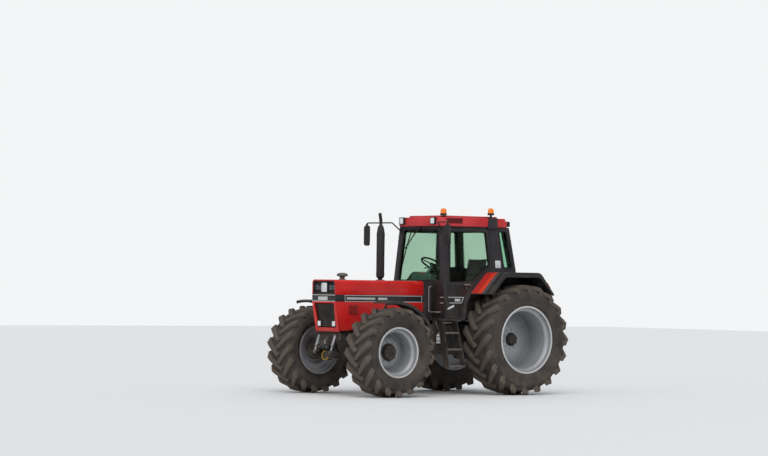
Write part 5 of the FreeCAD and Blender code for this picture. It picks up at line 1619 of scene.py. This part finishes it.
@dataclass
class RoofGear:
    """Louvred side vents, work lamps and beacons."""

    front_lamp_y: float = 405.0
    rear_lamp_y: float = 610.0
    beacons: tuple = ((1200, 470, 2943.6, 0.0), (298, 612, 2913.6, 0.052))

    def build(self) -> None:
        """Makes every piece."""
        for side in Side:
            self.vent(side)
        first = [self.lamp(side, True) for side in Side]
        for side in Side:
            self.lamp(side, False)
        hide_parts("work_lamps")
        self.domes()
        LOG.info("roof gear built")

    def vent(self, side: Side) -> None:
        """Louvred vent let into the roof's side, its frame and slats in a darker red that paints the shade of the
        slots.
        """
        word = side.word

        def follow(spot: Vector) -> Vector:
            """Sets a place measured from the roof's side where that side is."""
            return Vector((spot.x, spot.y + 0.605 + (1.250 - spot.x - REAR_AXLE_X) * 0.063, spot.z))

        frame = Bench.ring_plate(f"roof_vent_frame_{word}",
                                 mm([(920, 2812, 8), (920, 2898, 8), (1239, 2898, 8),
                                                                (1239, 2812, 8)]),
                                 mm([(930, 2821, 4), (930, 2889, 4), (1229, 2889, 4), (1229, 2821, 4)]),
                                 (-0.024, 0.006), "xz", VENT_SHADED_RED, "chassis")
        handed(Bench.warp(frame, follow), side)
        back = Bench.box(f"roof_vent_back_{word}", at(926, -30, 2816), at(1233, 1, 2894), SATIN_BLACK,
                         "chassis", 0.0)
        handed(Bench.warp(back, follow), side)
        slats = REPEAT.run(REPEAT.row(), f"roof_vent_slats_{word}", Bench.block((0.298, 0.010, 0.005)),
                           VENT_SHADED_RED,
                           "chassis", Count=6, Start=(0, 0, 0), Step=(0, 0, 0.0116))
        Bench.warp(slats, lambda v: Vector((v.x, v.y, v.z - v.y * 0.5)) + at(1079.5, 2, 2826))
        handed(Bench.warp(slats, follow), side)

    def lamp(self, side: Side, front: bool) -> bpy.types.Object:
        """One square work lamp with its bezel and lens.

        Args:
            side: which side it is on.
            front: whether it looks ahead.

        Returns:
            The lamp's housing.
        """
        y = self.front_lamp_y if front else self.rear_lamp_y
        where = "front" if front else "rear"
        low, high = (2792, 2914) if front else (2780, 2868)
        near, far, way = (1345.3, 1382, 1) if front else (-20.3, -71, -1)
        name = f"work_lamp_{where}_{side.word}"
        shell = Bench.plate(name, mm([(y - 62, low, 12), (y - 62, high, 12), (y + 62, high, 12),
                                      (y + 62, low, 12)], "yz"),
                            (at(near, 0, 0).x, at(far, 0, 0).x), "yz", SATIN_BLACK, "chassis", 0.006)
        handed(shell, side)
        face = at(far, 0, 0).x
        outer = mm([(y - 58, low + 4, 12), (y - 58, high - 4, 12), (y + 58, high - 4, 12),
                    (y + 58, low + 4, 12)], "yz")
        inner = mm([(y - 48, low + 14, 8), (y - 48, high - 14, 8), (y + 48, high - 14, 8),
                    (y + 48, low + 14, 8)], "yz")
        handed(Bench.ring_plate(name + "_bezel", outer, inner, (face - 0.001 * way, face + 0.004 * way),
                                "yz",
                                SATIN_BLACK, "chassis"), side)
        glass = Bench.plate(name + "_lens", inner, (face - 0.001 * way, face + 0.0022 * way), "yz", LENS,
                            "chassis", 0.001)
        handed(glass, side)
        flutes = REPEAT.run(REPEAT.row(), name + "_flutes",
                            Bench.block((0.003, 0.004, (high - low - 34) / 1000)), LENS,
                            "chassis", Count=10, Start=(0, 0, 0), Step=(0, 0.0095, 0))
        Bench.warp(flutes,
                   lambda v: v + Vector((face + 0.0022 * way, y / 1000 - 0.0428, (low + high) / 2000)))
        handed(flutes, side)
        return shell

    def domes(self) -> None:
        """Amber domes on black bases, the rear one on its stalk."""
        for i, (x, y, z, stalk) in enumerate(self.beacons):
            foot = at(x, y, z) + Vector((0, 0, stalk))
            base = Bench.spin(f"beacon_base_{i}", [
                (0.0, 0.0), (0.0, 0.050), (0.004, 0.0555), (0.012, 0.056), (0.014, 0.053), (0.018, 0.053),
                (0.020, 0.056),
                (0.028, 0.0555), (0.033, 0.051), (0.034, 0.0),
            ], foot, SATIN_BLACK, "chassis", "z", 64, False)
            if stalk:
                stem = Bench.spin("stem", [(0.0, 0.0), (0.0, 0.030), (0.006, 0.028), (0.012, 0.018),
                                           (stalk, 0.018),
                                           (stalk, 0.0)], at(x, y, z), SATIN_BLACK, "chassis", "z", 32,
                                  False)
                join([base, stem], base.name)
            dome = Bench.spin(f"beacon_dome_{i}", [
                (0.030, 0.0), (0.030, 0.050), (0.036, 0.0505), (0.062, 0.0495), (0.084, 0.0475),
                (0.098, 0.043),
                (0.110, 0.034), (0.1165, 0.020), (0.1195, 0.0),
            ], foot, AMBER, "chassis", "z", 64, False)
            if i == 0:
                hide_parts("beacons")


@dataclass
class Mirrors:
    """Both outside mirrors: bent arm, foot, rounded head and glass."""

    places: tuple = ((1467.0, 900.0, Side.LEFT), (1511.0, 1170.0, Side.RIGHT))

    def build(self) -> None:
        """Makes both and hides the plain ones."""
        for x, y, side in self.places:
            word = side.word
            rows = ((0.017, 60, 30), (0.008, 68, 40), (-0.008, 70, 44), (-0.015, 70, 44))
            head = self._head(f"mirror_head_{word}", x, y, rows)
            arm = Bench.tube(f"mirror_arm_{word}",
                             [at(1298.8, 525, 2690), at(1420.3, 605, 2825), at(x, y, 2825),
                                                    at(x, y, 2610)], 0.028, 0.011, SATIN_BLACK, "chassis",
                             16)
            foot = Bench.box("foot", at(1330.3, 500, 2645), at(1346.3, 550, 2735), SATIN_BLACK, "chassis",
                             0.005)
            Bench.warp(foot, lean_back)
            cuff = Bench.box("cuff", at(x - 15, y - 17, 2782), at(x + 15, y + 17, 2812), SATIN_BLACK,
                             "chassis", 0.006)
            whole = join([head, arm, foot, cuff], head.name)
            handed(whole, side)
            edge = at(x - 17, 0, 0).x
            glass = Bench.plate(f"mirror_glass_{word}", mm([
                (y - 60, 2452, 34), (y - 60, 2773, 34), (y + 60, 2773, 34), (y + 60, 2452, 34),
            ], "yz"), (edge, edge + 0.004), "yz", MIRROR, "chassis", 0.001)
            handed(glass, side)
            if side is Side.LEFT:
                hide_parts("mirrors")
        LOG.info("mirrors built")

    @staticmethod
    def _head(name: str, x: float, y: float, rows: tuple) -> bpy.types.Object:
        """A mirror shell whose front is crowned."""
        verts, count = [], 0
        for off, half, radius in rows:
            ring = Bench.rounded(mm([(y - half, 2442 + (70 - half), radius),
                                     (y - half, 2783 - (70 - half), radius),
                                     (y + half, 2783 - (70 - half), radius),
                                     (y + half, 2442 + (70 - half), radius)], "yz"))
            count = len(ring)
            verts += [(at(x, 0, 0).x + off, u, v) for u, v in ring]
        faces = [list(range(count)), list(range(len(verts) - 1, len(verts) - 1 - count, -1))]
        for i in range(len(rows) - 1):
            for k in range(count):
                j = (k + 1) % count
                faces.append([i * count + k, i * count + j, (i + 1) * count + j, (i + 1) * count + k])
        return Bench.piece(name, verts, faces, PLASTIC, "chassis", 50.0)


# Hood, fenders, steps and gear

@dataclass
class HoodTrim:
    """Silver lines, blank plates, lamps and louvres of the hood and the nose."""

    front_x: float = 3290.0
    half: float = 310.0

    def build(self) -> None:
        """Makes every piece."""
        for side in Side:
            self.lines(side)
            self.louvre(side)
        self.nose()
        self.lamps()
        self.exhaust_bands()
        LOG.info("hood trim built")

    def lines(self, side: Side) -> None:
        """Silver box and the blank badge on the black band."""
        word = side.word
        outer = [(1503, 1508.5), (3100, 1508.5), (3100, 1613), (1503, 1613)]
        inner = [(1512, 1517), (3091, 1517), (3091, 1604.5), (1512, 1604.5)]
        handed(Bench.ring_plate(f"band_outline_{word}", mm(outer), mm(inner), (0.3095, 0.3115), "xz",
                                SILVER_LINE,
                                "chassis"), side)
        handed(Bench.plate(f"band_badge_long_{word}",
                           mm([(3060, 1541, 5), (3060, 1577, 5), (2480, 1577, 5),
                                                          (2480, 1541, 5)]),
                           (0.3095, 0.3120), "xz", SILVER_LINE, "chassis", 0.001), side)
        handed(Bench.plate(f"band_badge_short_{word}",
                           mm([(2420, 1541, 5), (2420, 1577, 5), (2230, 1577, 5),
                                                           (2230, 1541, 5)]),
                           (0.3095, 0.3120), "xz", SILVER_LINE, "chassis", 0.001), side)

    def louvre(self, side: Side) -> None:
        """Framed louvres in the side panel, in a darker red that paints the shade between the slats."""
        word = side.word
        # The flat bed plate in darker red stands in for the shaded gaps between the slats.
        handed(Bench.plate(f"louvre_bed_{word}", mm([(2828, 1296, 12), (2828, 1456, 12), (3019, 1456, 12),
                                                     (3019, 1296, 12)]),
                           (0.3095, 0.3110), "xz", LOUVRE_SHADED_RED, "chassis", 0.0006), side)
        slats = REPEAT.run(REPEAT.row(), f"louvre_slats_{word}", Bench.block((0.172, 0.006, 0.009)),
                           LOUVRE_SHADED_RED,
                           "chassis", Count=8, Start=(0, 0, 0), Step=(0, 0, 0.0185))
        Bench.warp(slats, lambda v: Vector((v.x, v.y, v.z - v.y * 0.8)) + at(2923.5, 312, 1311))
        handed(slats, side)

    def nose(self) -> None:
        """Silver lines across the band's front and the blank plates of the nose."""
        x = at(self.front_x, 0, 0).x
        for name, level in (("low", 1513), ("high", 1612)):
            Bench.box(f"nose_line_{name}", Vector((x - 0.0005, -0.302, (level - 5) / 1000)),
                      Vector((x + 0.0018, 0.302, (level + 5) / 1000)), SILVER_LINE, "chassis", 0.0)
        Bench.plate("nose_badge",
                    mm([(-146, 1528, 6), (-146, 1586, 6), (102, 1586, 6), (102, 1528, 6)], "yz"),
                    (x - 0.0005, x + 0.0025), "yz", SILVER_LINE, "chassis", 0.001)
        Bench.plate("nose_centre_plate",
                    mm([(-70, 1662, 8), (-70, 1806, 8), (70, 1806, 8), (70, 1662, 8)], "yz"),
                    (x - 0.0082, x - 0.0045), "yz", PLATE, "chassis", 0.0012)

    def lamps(self) -> None:
        """Two head lamps a side behind the bars and the two pale lamps low in the grille."""
        x = at(self.front_x - 45, 0, 0)
        for side in Side:
            for i, y in enumerate((130, 228)):
                bowl = Bench.spin(f"head_lamp_{i}_{side.word}", [
                    (-0.002, 0.0), (-0.002, 0.047), (0.010, 0.047), (0.012, 0.043), (0.014, 0.030),
                    (0.015, 0.0),
                ], Vector((x.x, y / 1000, 1.733)), LAMP_DARK, "chassis", "x", 48, False)
                handed(bowl, side)
            shell = Bench.box(f"low_lamp_{side.word}", at(3205, 146, 1110), at(3232, 236, 1196), LENS,
                              "chassis", 0.010)
            handed(shell, side)
            outer = [(141, 1105, 14), (141, 1201, 14), (241, 1201, 14), (241, 1105, 14)]
            inner = [(149, 1113, 10), (149, 1193, 10), (233, 1193, 10), (233, 1113, 10)]
            edge = at(3226, 0, 0).x
            handed(Bench.ring_plate(f"low_lamp_bezel_{side.word}", mm(outer, "yz"), mm(inner, "yz"),
                                    (edge - 0.018, edge + 0.008), "yz", SATIN_BLACK, "chassis"), side)

    def exhaust_bands(self) -> None:
        """Clamp bands round the silencer and a collar at the hood."""
        for i, (level, radius) in enumerate(((1.965, 0.067), (2.600, 0.067))):
            Bench.spin(f"exhaust_band_{i}",
                       [(-0.012, radius - 0.002), (-0.012, radius + 0.003), (0.012, radius + 0.003),
                                             (0.012, radius - 0.002)], at(1980, -200, level * 1000),
                       SATIN_BLACK,
                       "chassis", "z", 48)
        Bench.spin("exhaust_collar",
                   [(0.0005, 0.042), (0.0005, 0.078), (0.006, 0.076), (0.012, 0.052), (0.012, 0.042)],
                   at(1980, -200, 1860), SATIN_BLACK, "chassis", "z", 48)


@dataclass
class RearFender:
    """Coloured stripes on the sloped front, a painted highlight along the outer edge, and the lamps at the tail
    of one rear fender.
    """

    side: Side

    def build(self) -> None:
        """Makes every piece of this side."""
        line = Bench.rounded(mm([(930, 1225), (900, 1500, 150), (835, 1640, 150), (476, 2018, 140),
                                 (-290, 2018, 150),
                                 (-600, 1660)]), 10)
        slope = self._between(line, at(0, 0, 1668).z, at(455, 0, 0).x)
        word = self.side.word
        bands = (("red", 735, 905, ORANGE_DARK), ("orange", 905, 1000, ORANGE),
                 ("grey", 1000, 1082, BAND_GREY))
        for label, near, far, finish in bands:
            handed(Bench.strip(f"fender_stripe_{label}_{word}", slope, (near / 1000, far / 1000),
                               (-0.001, 0.0016), finish,
                               "chassis"), self.side)
        whole = self._between(line, at(0, 0, 1668).z, at(-588, 0, 0).x)
        # A pale grey strip along the fender's outer top edge: a painted highlight on the rounded edge.
        handed(Bench.strip(f"fender_bead_{word}", whole, (1.196, 1.2135), (-0.001, 0.003), BAND_GREY,
                           "chassis"), self.side)
        ahead, low = at(-140, 0, 0).x, at(0, 0, 1600).z
        tail = self._between(line, at(0, 0, 1990).z, at(-560, 0, 0).x)
        under = [(ahead, at(0, 0, 1992).z)] + [(x, z - 0.026) for x, z in tail if x < ahead]
        handed(Bench.plate(f"fender_inner_panel_{word}",
                           under + [(under[-1][0] + 0.02, low), (ahead, low)],
                           (0.5605, 0.5665), "xz", PLASTIC, "chassis", 0.001), self.side)
        self.tail()
        LOG.info("%s rear fender dressed", word)

    @staticmethod
    def _between(line: Profile, from_z: float, to_x: float) -> Profile:
        """The part of the fender's line above a height on its front, up to a place along the tractor."""
        kept = []
        for a, b in zip(line, line[1:]):
            if a[1] < from_z <= b[1] and not kept:
                share = (from_z - a[1]) / (b[1] - a[1])
                kept.append((a[0] + share * (b[0] - a[0]), from_z))
            if kept and b[0] >= to_x:
                kept.append(b)
            elif kept:
                share = (a[0] - to_x) / (a[0] - b[0]) if a[0] > b[0] else 0.0
                kept.append((to_x, a[1] + share * (b[1] - a[1])))
                break
        return kept

    def tail(self) -> None:
        """Lamp with a red and an amber lens on the falling tail."""
        word = self.side.word
        away = Vector((-0.756, 0, 0.655))
        down = Vector((-0.655, 0, -0.756))
        centre = at(-478, 1100, 1800)
        turn = Matrix.Translation(centre) @ Matrix((down, Vector((0, 1, 0)), away)).transposed().to_4x4()
        parts = (
            ("housing", Vector((-0.060, -0.095, -0.002)), Vector((0.060, 0.095, 0.024)), SATIN_BLACK,
             0.008),
            ("red", Vector((-0.052, -0.088, 0.018)), Vector((0.052, 0.010, 0.034)), TAIL_RED, 0.006),
            ("amber", Vector((-0.052, 0.016, 0.018)), Vector((0.052, 0.088, 0.034)), AMBER, 0.006),
        )
        for label, low, high, finish, width in parts:
            lamp = Bench.box(f"tail_lamp_{label}_{word}", low, high, finish, "chassis", width)
            lamp.data.transform(turn)
            if turn.to_3x3().determinant() < 0:
                lamp.data.flip_normals()
            lamp.data.update()
            handed(lamp, self.side)


@dataclass
class Steps:
    """Ladder treads with grip ribs, the tank's cap and the pale canister with its pipe."""

    treads: tuple = ((475, 1438, 1085), (750, 1485, 1158), (1020, 1531, 1230))

    def build(self) -> None:
        """Makes every piece."""
        for side in Side:
            for z, front, rear in self.treads:
                tread = Bench.box(f"tread_{z}_{side.word}", at(rear + 6, 813.5, z - 13.4),
                                  at(front - 6, 943, z + 13.4),
                                  TREAD_GREY, "chassis", 0.003)
                handed(tread, side)
                count = 12
                ribs = REPEAT.run(REPEAT.row(), f"tread_ribs_{z}_{side.word}",
                                  Bench.block((0.008, 0.118, 0.006)),
                                  TREAD_GREY, "chassis", Count=count, Start=(0, 0, 0),
                                  Step=((front - rear - 50) / (count - 1) / 1000, 0, 0))
                start = at(rear + 25, 878, z + 14.5)
                Bench.warp(ribs, lambda v, start=start: v + start)
                handed(ribs, side)
        Bench.spin("tank_cap", [(0.0, 0.0), (0.0, 0.052), (0.010, 0.052), (0.012, 0.046), (0.030, 0.044),
                                (0.034, 0.036),
                                (0.034, 0.0)], at(1690, 599.5, 1060), SATIN_BLACK, "chassis", "y", 40,
                   False)
        can = Bench.spin("canister",
                         [(-0.072, 0.0), (-0.072, 0.030), (-0.066, 0.036), (0.062, 0.036), (0.070, 0.028),
                                      (0.074, 0.014), (0.088, 0.014), (0.088, 0.0)], at(1415, 638, 916),
                         PLATE,
                         "chassis", "z", 40, False)
        bands = [Bench.spin("band", [(-0.006, 0.0355), (-0.006, 0.0375), (0.006, 0.0375), (0.006, 0.0355)],
                            at(1415, 638, level), SATIN_BLACK, "chassis", "z", 32) for level in (884, 952)]
        ears = [Bench.box("ear", at(1404, 599, level - 8), at(1426, 606, level + 8), SATIN_BLACK,
                          "chassis", 0.002)
                for level in (884, 952)]
        join([can] + bands + ears, "canister")
        Bench.tube("canister_pipe",
                   [at(1415, 638, 1000), at(1388, 638, 1045), at(1452, 632, 1150), at(1452, 632, 1196)],
                   0.03, 0.009, RAIL_GREY, "chassis", 12)
        LOG.info("steps built")


@dataclass
class Gear:
    """Bolts, filters, couplers and guards of the nose, the engine's sides and the rear."""

    def build(self) -> None:
        """Makes every piece."""
        self.nose()
        self.engine()
        self.rear()
        LOG.info("gear built")

    @staticmethod
    def bolt(name: str, centre: Vector, radius: float, axis: str, way: int,
             body: str = "chassis") -> bpy.types.Object:
        """A hexagon head on its washer.

        Args:
            name: the piece's name.
            centre: the middle of its seat.
            radius: half its width across corners.
            axis: "x", "y" or "z".
            way: the direction that it faces.
            body: the body that it moves with.

        Returns:
            The new object.
        """
        washer = Bench.spin(name, [(0.0, 0.0), (0.0, radius * 1.35), (0.003 * way, radius * 1.35),
                                   (0.003 * way, 0.0)],
                            centre, RAIL_GREY, body, axis, 24, False)
        head = Bench.spin("head", [(0.003 * way, 0.0), (0.003 * way, radius), (0.011 * way, radius),
                                   (0.013 * way, radius * 0.85), (0.013 * way, 0.0)], centre, RAIL_GREY,
                          body, axis, 6, False,
                          20.0)
        return join([washer, head], name)

    def nose(self) -> None:
        """Guard ring round the front shaft, carrier bolts, the carrier's cover and couplers."""
        Bench.spin("front_shaft_guard", [
            (-0.030, 0.056), (-0.030, 0.068), (0.018, 0.074), (0.024, 0.072), (0.024, 0.066),
            (-0.024, 0.056),
        ], at(3240, 0, 640), YELLOW, "chassis", "x", 64)
        bolts = [self.bolt("b", at(3180, y, z), 0.012, "x", 1) for y in (-296, 296) for z in (900, 940,
                                                                                              980)]
        bolts += [self.bolt("b", at(3290, y, z), 0.010, "x", 1) for y in (-96, 96) for z in (780, 912)]
        join(bolts, "carrier_bolts")
        Bench.plate("carrier_cover",
                    mm([(-70, 800, 12), (-70, 900, 12), (70, 900, 12), (70, 800, 12)], "yz"),
                    (at(3289.5, 0, 0).x, at(3295, 0, 0).x), "yz", CAST, "chassis", 0.002)
        for side in Side:
            for i, y in enumerate((92, 60)):
                coupler = Bench.spin(f"front_coupler_{i}_{side.word}", [
                    (0.0, 0.0), (0.0, 0.016), (0.012, 0.016), (0.014, 0.020), (0.034, 0.020),
                    (0.036, 0.014), (0.036, 0.0),
                ], at(3289.5, y, 846) if i == 0 else at(3289.5, y + 32, 880), CHROME, "chassis", "x", 28,
                                     False)
                handed(coupler, side)

    def engine(self) -> None:
        """Filters, starter, alternator and pipes on the engine's sides."""
        filters = ((2030, 300, 905, 0.048, 0.150), (2160, 300, 905, 0.048, 0.150),
                   (2290, 292, 930, 0.040, 0.110))
        for i, (x, y, z, radius, length) in enumerate(filters):
            made = Bench.spin(f"oil_filter_{i}", [
                (0.0, 0.0), (0.0, radius - 0.008), (0.006, radius), (length - 0.02, radius),
                (length - 0.006, radius - 0.010),
                (length, radius - 0.012), (length, 0.0),
            ], at(x, y, z), (BAND_GREY, BAND_GREY, SATIN_BLACK)[i], "chassis", "z", 40, False)
            head = Bench.box("head", at(x - 46, 244, z + length * 1000 - 4),
                             at(x + 46, y + 30, z + length * 1000 + 38), CAST,
                             "chassis", 0.008)
            join([made, head], made.name)
        starter = Bench.spin("starter_motor",
                             [(-0.16, 0.0), (-0.16, 0.046), (-0.15, 0.054), (0.10, 0.054), (0.11, 0.040),
                                               (0.17, 0.036), (0.17, 0.0)], at(1965, -299, 900),
                             SATIN_BLACK, "chassis",
                             "x", 40, False)
        saddle = Bench.box("saddle", at(1900, -280, 868), at(2010, -244, 932), CAST, "chassis", 0.006)
        join([starter, saddle], "starter_motor")
        turbine = Bench.spin("alternator",
                             [(-0.07, 0.0), (-0.07, 0.050), (-0.06, 0.062), (0.05, 0.062), (0.06, 0.050),
                                            (0.062, 0.020), (0.085, 0.020), (0.085, 0.040), (0.098, 0.040),
                              (0.098, 0.0)],
                             at(2400, -306, 1090), CAST, "chassis", "x", 40, False)
        mount = Bench.box("mount", at(2360, -290, 1050), at(2430, -244, 1130), CAST, "chassis", 0.006)
        join([turbine, mount], "alternator")
        for side in Side:
            rails = []
            for i, z in enumerate((1120, 1160)):
                rails.append(Bench.tube("rail", [at(1806, 258, z), at(1850, 262, z), at(2300, 262, z + 30),
                                                 at(2380, 250, z + 20)], 0.04, 0.008, RAIL_GREY, "chassis",
                                        10))
            made = join(rails, f"engine_pipes_{side.word}")
            handed(made, side)
            bolts = [self.bolt("b", at(x, 245, 838), 0.009, "y", 1) for x in range(1840, 2540, 70)]
            made = join(bolts, f"sump_bolts_{side.word}")
            handed(made, side)

    def rear(self) -> None:
        """Hydraulic couplers, shaft guard and the housing's bolts."""
        for i in range(6):
            y = -250 + 44 * i if i < 3 else 250 - 44 * (i - 3)
            Bench.spin(f"rear_coupler_{i}", [
                (0.001, 0.0), (0.001, 0.018), (-0.020, 0.018), (-0.022, 0.014), (-0.040, 0.014),
                (-0.042, 0.019),
                (-0.062, 0.019), (-0.064, 0.012), (-0.064, 0.0),
            ], at(-330, y, 1010), (ORANGE, CHROME, YELLOW)[i % 3], "chassis", "x", 28, False)
        Bench.plate("shaft_guard",
                    mm([(-110, 845, 20), (110, 845, 20), (122, 700, 10), (110, 700, 4), (100, 833, 14),
                                       (-100, 833, 14), (-110, 700, 4), (-122, 700, 10)], "yz"),
                    (at(-329, 0, 0).x, at(-455, 0, 0).x), "yz", SATIN_BLACK, "chassis", 0.0015)
        bolts = [self.bolt("b", at(-330, y, z), 0.013, "x", -1) for y in (-262,
                                                                          262) for z in (640, 760, 880)]
        join(bolts, "rear_cover_bolts")


def trim() -> None:
    """Builds the trim in order, from the cab to the rear."""
    for side in Side:
        CabSide(side).build()
    CabFront().build()
    Seat().build()
    RoofGear().build()
    Mirrors().build()
    HoodTrim().build()
    for side in Side:
        RearFender(side).build()
    Steps().build()
    Gear().build()


# Studio

@dataclass
class Studio:
    """Floor, light and the camera of the photograph."""

    eye: Point = (29.809 - REAR_AXLE_X, 34.958, 1.7595)
    yaw: float = -128.43
    pitch: float = 1.23
    roll: float = 0.78
    lens: float = 127.8
    floor_color: Point = (0.78, 0.78, 0.78)
    fill: float = 0.50

    def build(self) -> None:
        """Makes the camera, the floor, the lamps and the world."""
        self.camera()
        self.floor()
        self.world()
        self.lamp("key", (5.0, 8.0, 10.0), 50.0, 1.55)
        self.lamp("front_fill", (11.0, 2.0, 5.0), 60.0, 0.55)
        self.lamp("rear_fill", (-9.0, -5.0, 6.0), 60.0, 0.40)
        bpy.context.scene.view_settings.view_transform = "Standard"

    def camera(self) -> None:
        """Sets the camera where the photographer stood."""
        yaw, pitch, roll = (math.radians(v) for v in (self.yaw, self.pitch, self.roll))
        look = Vector((math.cos(yaw) * math.cos(pitch), math.sin(yaw) * math.cos(pitch), math.sin(pitch)))
        right = look.cross(Vector((0, 0, 1))).normalized()
        up = right.cross(look)
        across = right * math.cos(roll) + up * math.sin(roll)
        upward = up * math.cos(roll) - right * math.sin(roll)
        data = bpy.data.cameras.new("camera")
        data.lens = self.lens
        data.sensor_width = 36.0
        data.clip_end = 200.0
        camera = bpy.data.objects.new("camera", data)
        bpy.context.scene.collection.objects.link(camera)
        turn = Matrix((across, upward, -look)).transposed().to_4x4()
        camera.matrix_world = Matrix.Translation(Vector(self.eye)) @ turn
        bpy.context.scene.camera = camera

    def floor(self) -> None:
        """A pale floor with the tractor on it."""
        mesh = bpy.data.meshes.new("floor")
        reach = 60.0
        mesh.from_pydata([(-reach, -reach, 0), (reach, -reach, 0), (reach, reach, 0), (-reach, reach, 0)],
                         [], [[0, 1, 2, 3]])
        floor = bpy.data.objects.new("floor", mesh)
        bpy.context.scene.collection.objects.link(floor)
        material = bpy.data.materials.new("floor_pale")
        material.use_nodes = True
        shader = next(n for n in material.node_tree.nodes if n.type == "BSDF_PRINCIPLED")
        shader.inputs["Base Color"].default_value = (*self.floor_color, 1.0)
        shader.inputs["Roughness"].default_value = 0.85
        mesh.materials.append(material)

    def world(self) -> None:
        """Even light from all round, and a pale backdrop for what looks past the floor."""
        world = bpy.data.worlds.new("studio")
        bpy.context.scene.world = world
        world.use_nodes = True
        nodes, links = world.node_tree.nodes, world.node_tree.links
        soft = next(n for n in nodes if n.type == "BACKGROUND")
        soft.inputs["Color"].default_value = (0.93, 0.96, 1.0, 1.0)
        soft.inputs["Strength"].default_value = self.fill
        seen = nodes.new("ShaderNodeBackground")
        seen.inputs["Color"].default_value = (0.90, 0.91, 0.92, 1.0)
        seen.inputs["Strength"].default_value = 1.0
        path = nodes.new("ShaderNodeLightPath")
        rays = nodes.new("ShaderNodeMath")
        rays.operation = "MAXIMUM"
        links.new(path.outputs["Is Camera Ray"], rays.inputs[0])
        links.new(path.outputs["Is Transmission Ray"], rays.inputs[1])
        mix = nodes.new("ShaderNodeMixShader")
        links.new(rays.outputs[0], mix.inputs[0])
        links.new(soft.outputs[0], mix.inputs[1])
        links.new(seen.outputs[0], mix.inputs[2])
        sink = next(n for n in nodes if n.type == "OUTPUT_WORLD")
        links.new(mix.outputs[0], sink.inputs["Surface"])

    @staticmethod
    def lamp(name: str, place: Point, spread: float, strength: float) -> None:
        """A broad soft lamp far away in one direction, which lights the whole floor alike.

        Args:
            name: the lamp's name.
            place: the direction that it shines from.
            spread: how wide it looks from the tractor, in degrees.
            strength: its strength.
        """
        data = bpy.data.lights.new(name, "SUN")
        data.angle = math.radians(spread)
        data.energy = strength
        lamp = bpy.data.objects.new(name, data)
        bpy.context.scene.collection.objects.link(lamp)
        lamp.location = place
        lamp.rotation_euler = (-Vector(place)).to_track_quat("-Z", "Y").to_euler()


# Nodes that keep the shape of the solids, with rounded edges and their finish

KEPT = {
    "hood_top": (RED, 0.010), "hood_band": (STRIPE_BLACK, 0.004), "side_panels": (RED, 0.005),
    "front_frame": (RED, 0.005), "front_grilles": (PLASTIC, 0.002), "exhaust": (SATIN_BLACK, 0.002),
    "air_intake": (CAP_CLEAR, 0.002), "engine_block": (CAST, 0.006), "transmission": (CAST, 0.010),
    "rear_axle": (CAST, 0.006), "front_support": (CAST, 0.006), "front_axle": (CAST, 0.006),
    "knuckle_left": (CAST, 0.003), "knuckle_right": (CAST, 0.003), "drive_shaft": (SATIN_BLACK, 0.003),
    "track_rod": (CHROME, 0.001), "front_linkage": (SATIN_BLACK, 0.004),
    "front_lift_arms": (SATIN_BLACK, 0.004),
    "front_lift_barrels": (CHROME, 0.003), "front_lift_rods": (CHROME, 0.002),
    "cab_frame": (CAB_GREY, 0.005),
    "cab_floor": (SATIN_BLACK, 0.004), "roof": (ROOF_RED, 0.012), "cab_glass": (SCREEN, 0.0),
    "door_left": (CAB_GREY, 0.004), "door_right": (CAB_GREY, 0.004), "door_left_glass": (PANE, 0.0),
    "door_right_glass": (PANE, 0.0), "seat_base": (SATIN_BLACK, 0.006),
    "dashboard": (CONSOLE, 0.012), "rear_fender_left": (PLASTIC, 0.005),
    "rear_fender_right": (PLASTIC, 0.005), "front_fender_left": (PLASTIC, 0.004),
    "front_fender_right": (PLASTIC, 0.004),
    "ladders": (SATIN_BLACK, 0.003), "fuel_tank": (PLASTIC, 0.012), "battery_box": (PLASTIC, 0.010),
    "handrails": (RAIL_GREY, 0.001),
    "drawbar": (SATIN_BLACK, 0.004), "lower_links": (SATIN_BLACK, 0.003),
    "lift_arms": (SATIN_BLACK, 0.004), "lift_rods": (SATIN_BLACK, 0.002), "top_link": (SATIN_BLACK, 0.003),
}


def build_kept() -> None:
    """Dresses every node whose shape stays."""
    for node, (finish, width) in KEPT.items():
        if width:
            Bench.dress(node, finish, width)
        else:
            Bench.paint(node, finish)
    LOG.info("dressed %d nodes", len(KEPT))


def main() -> None:
    """Builds the tractor piece by piece in its studio."""
    logging.basicConfig(level=logging.INFO)
    FRAME.update(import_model())
    Studio().build()
    for wheel in wheels():
        wheel.build()
    build_kept()
    trim()


if __name__ == "__main__":
    main()
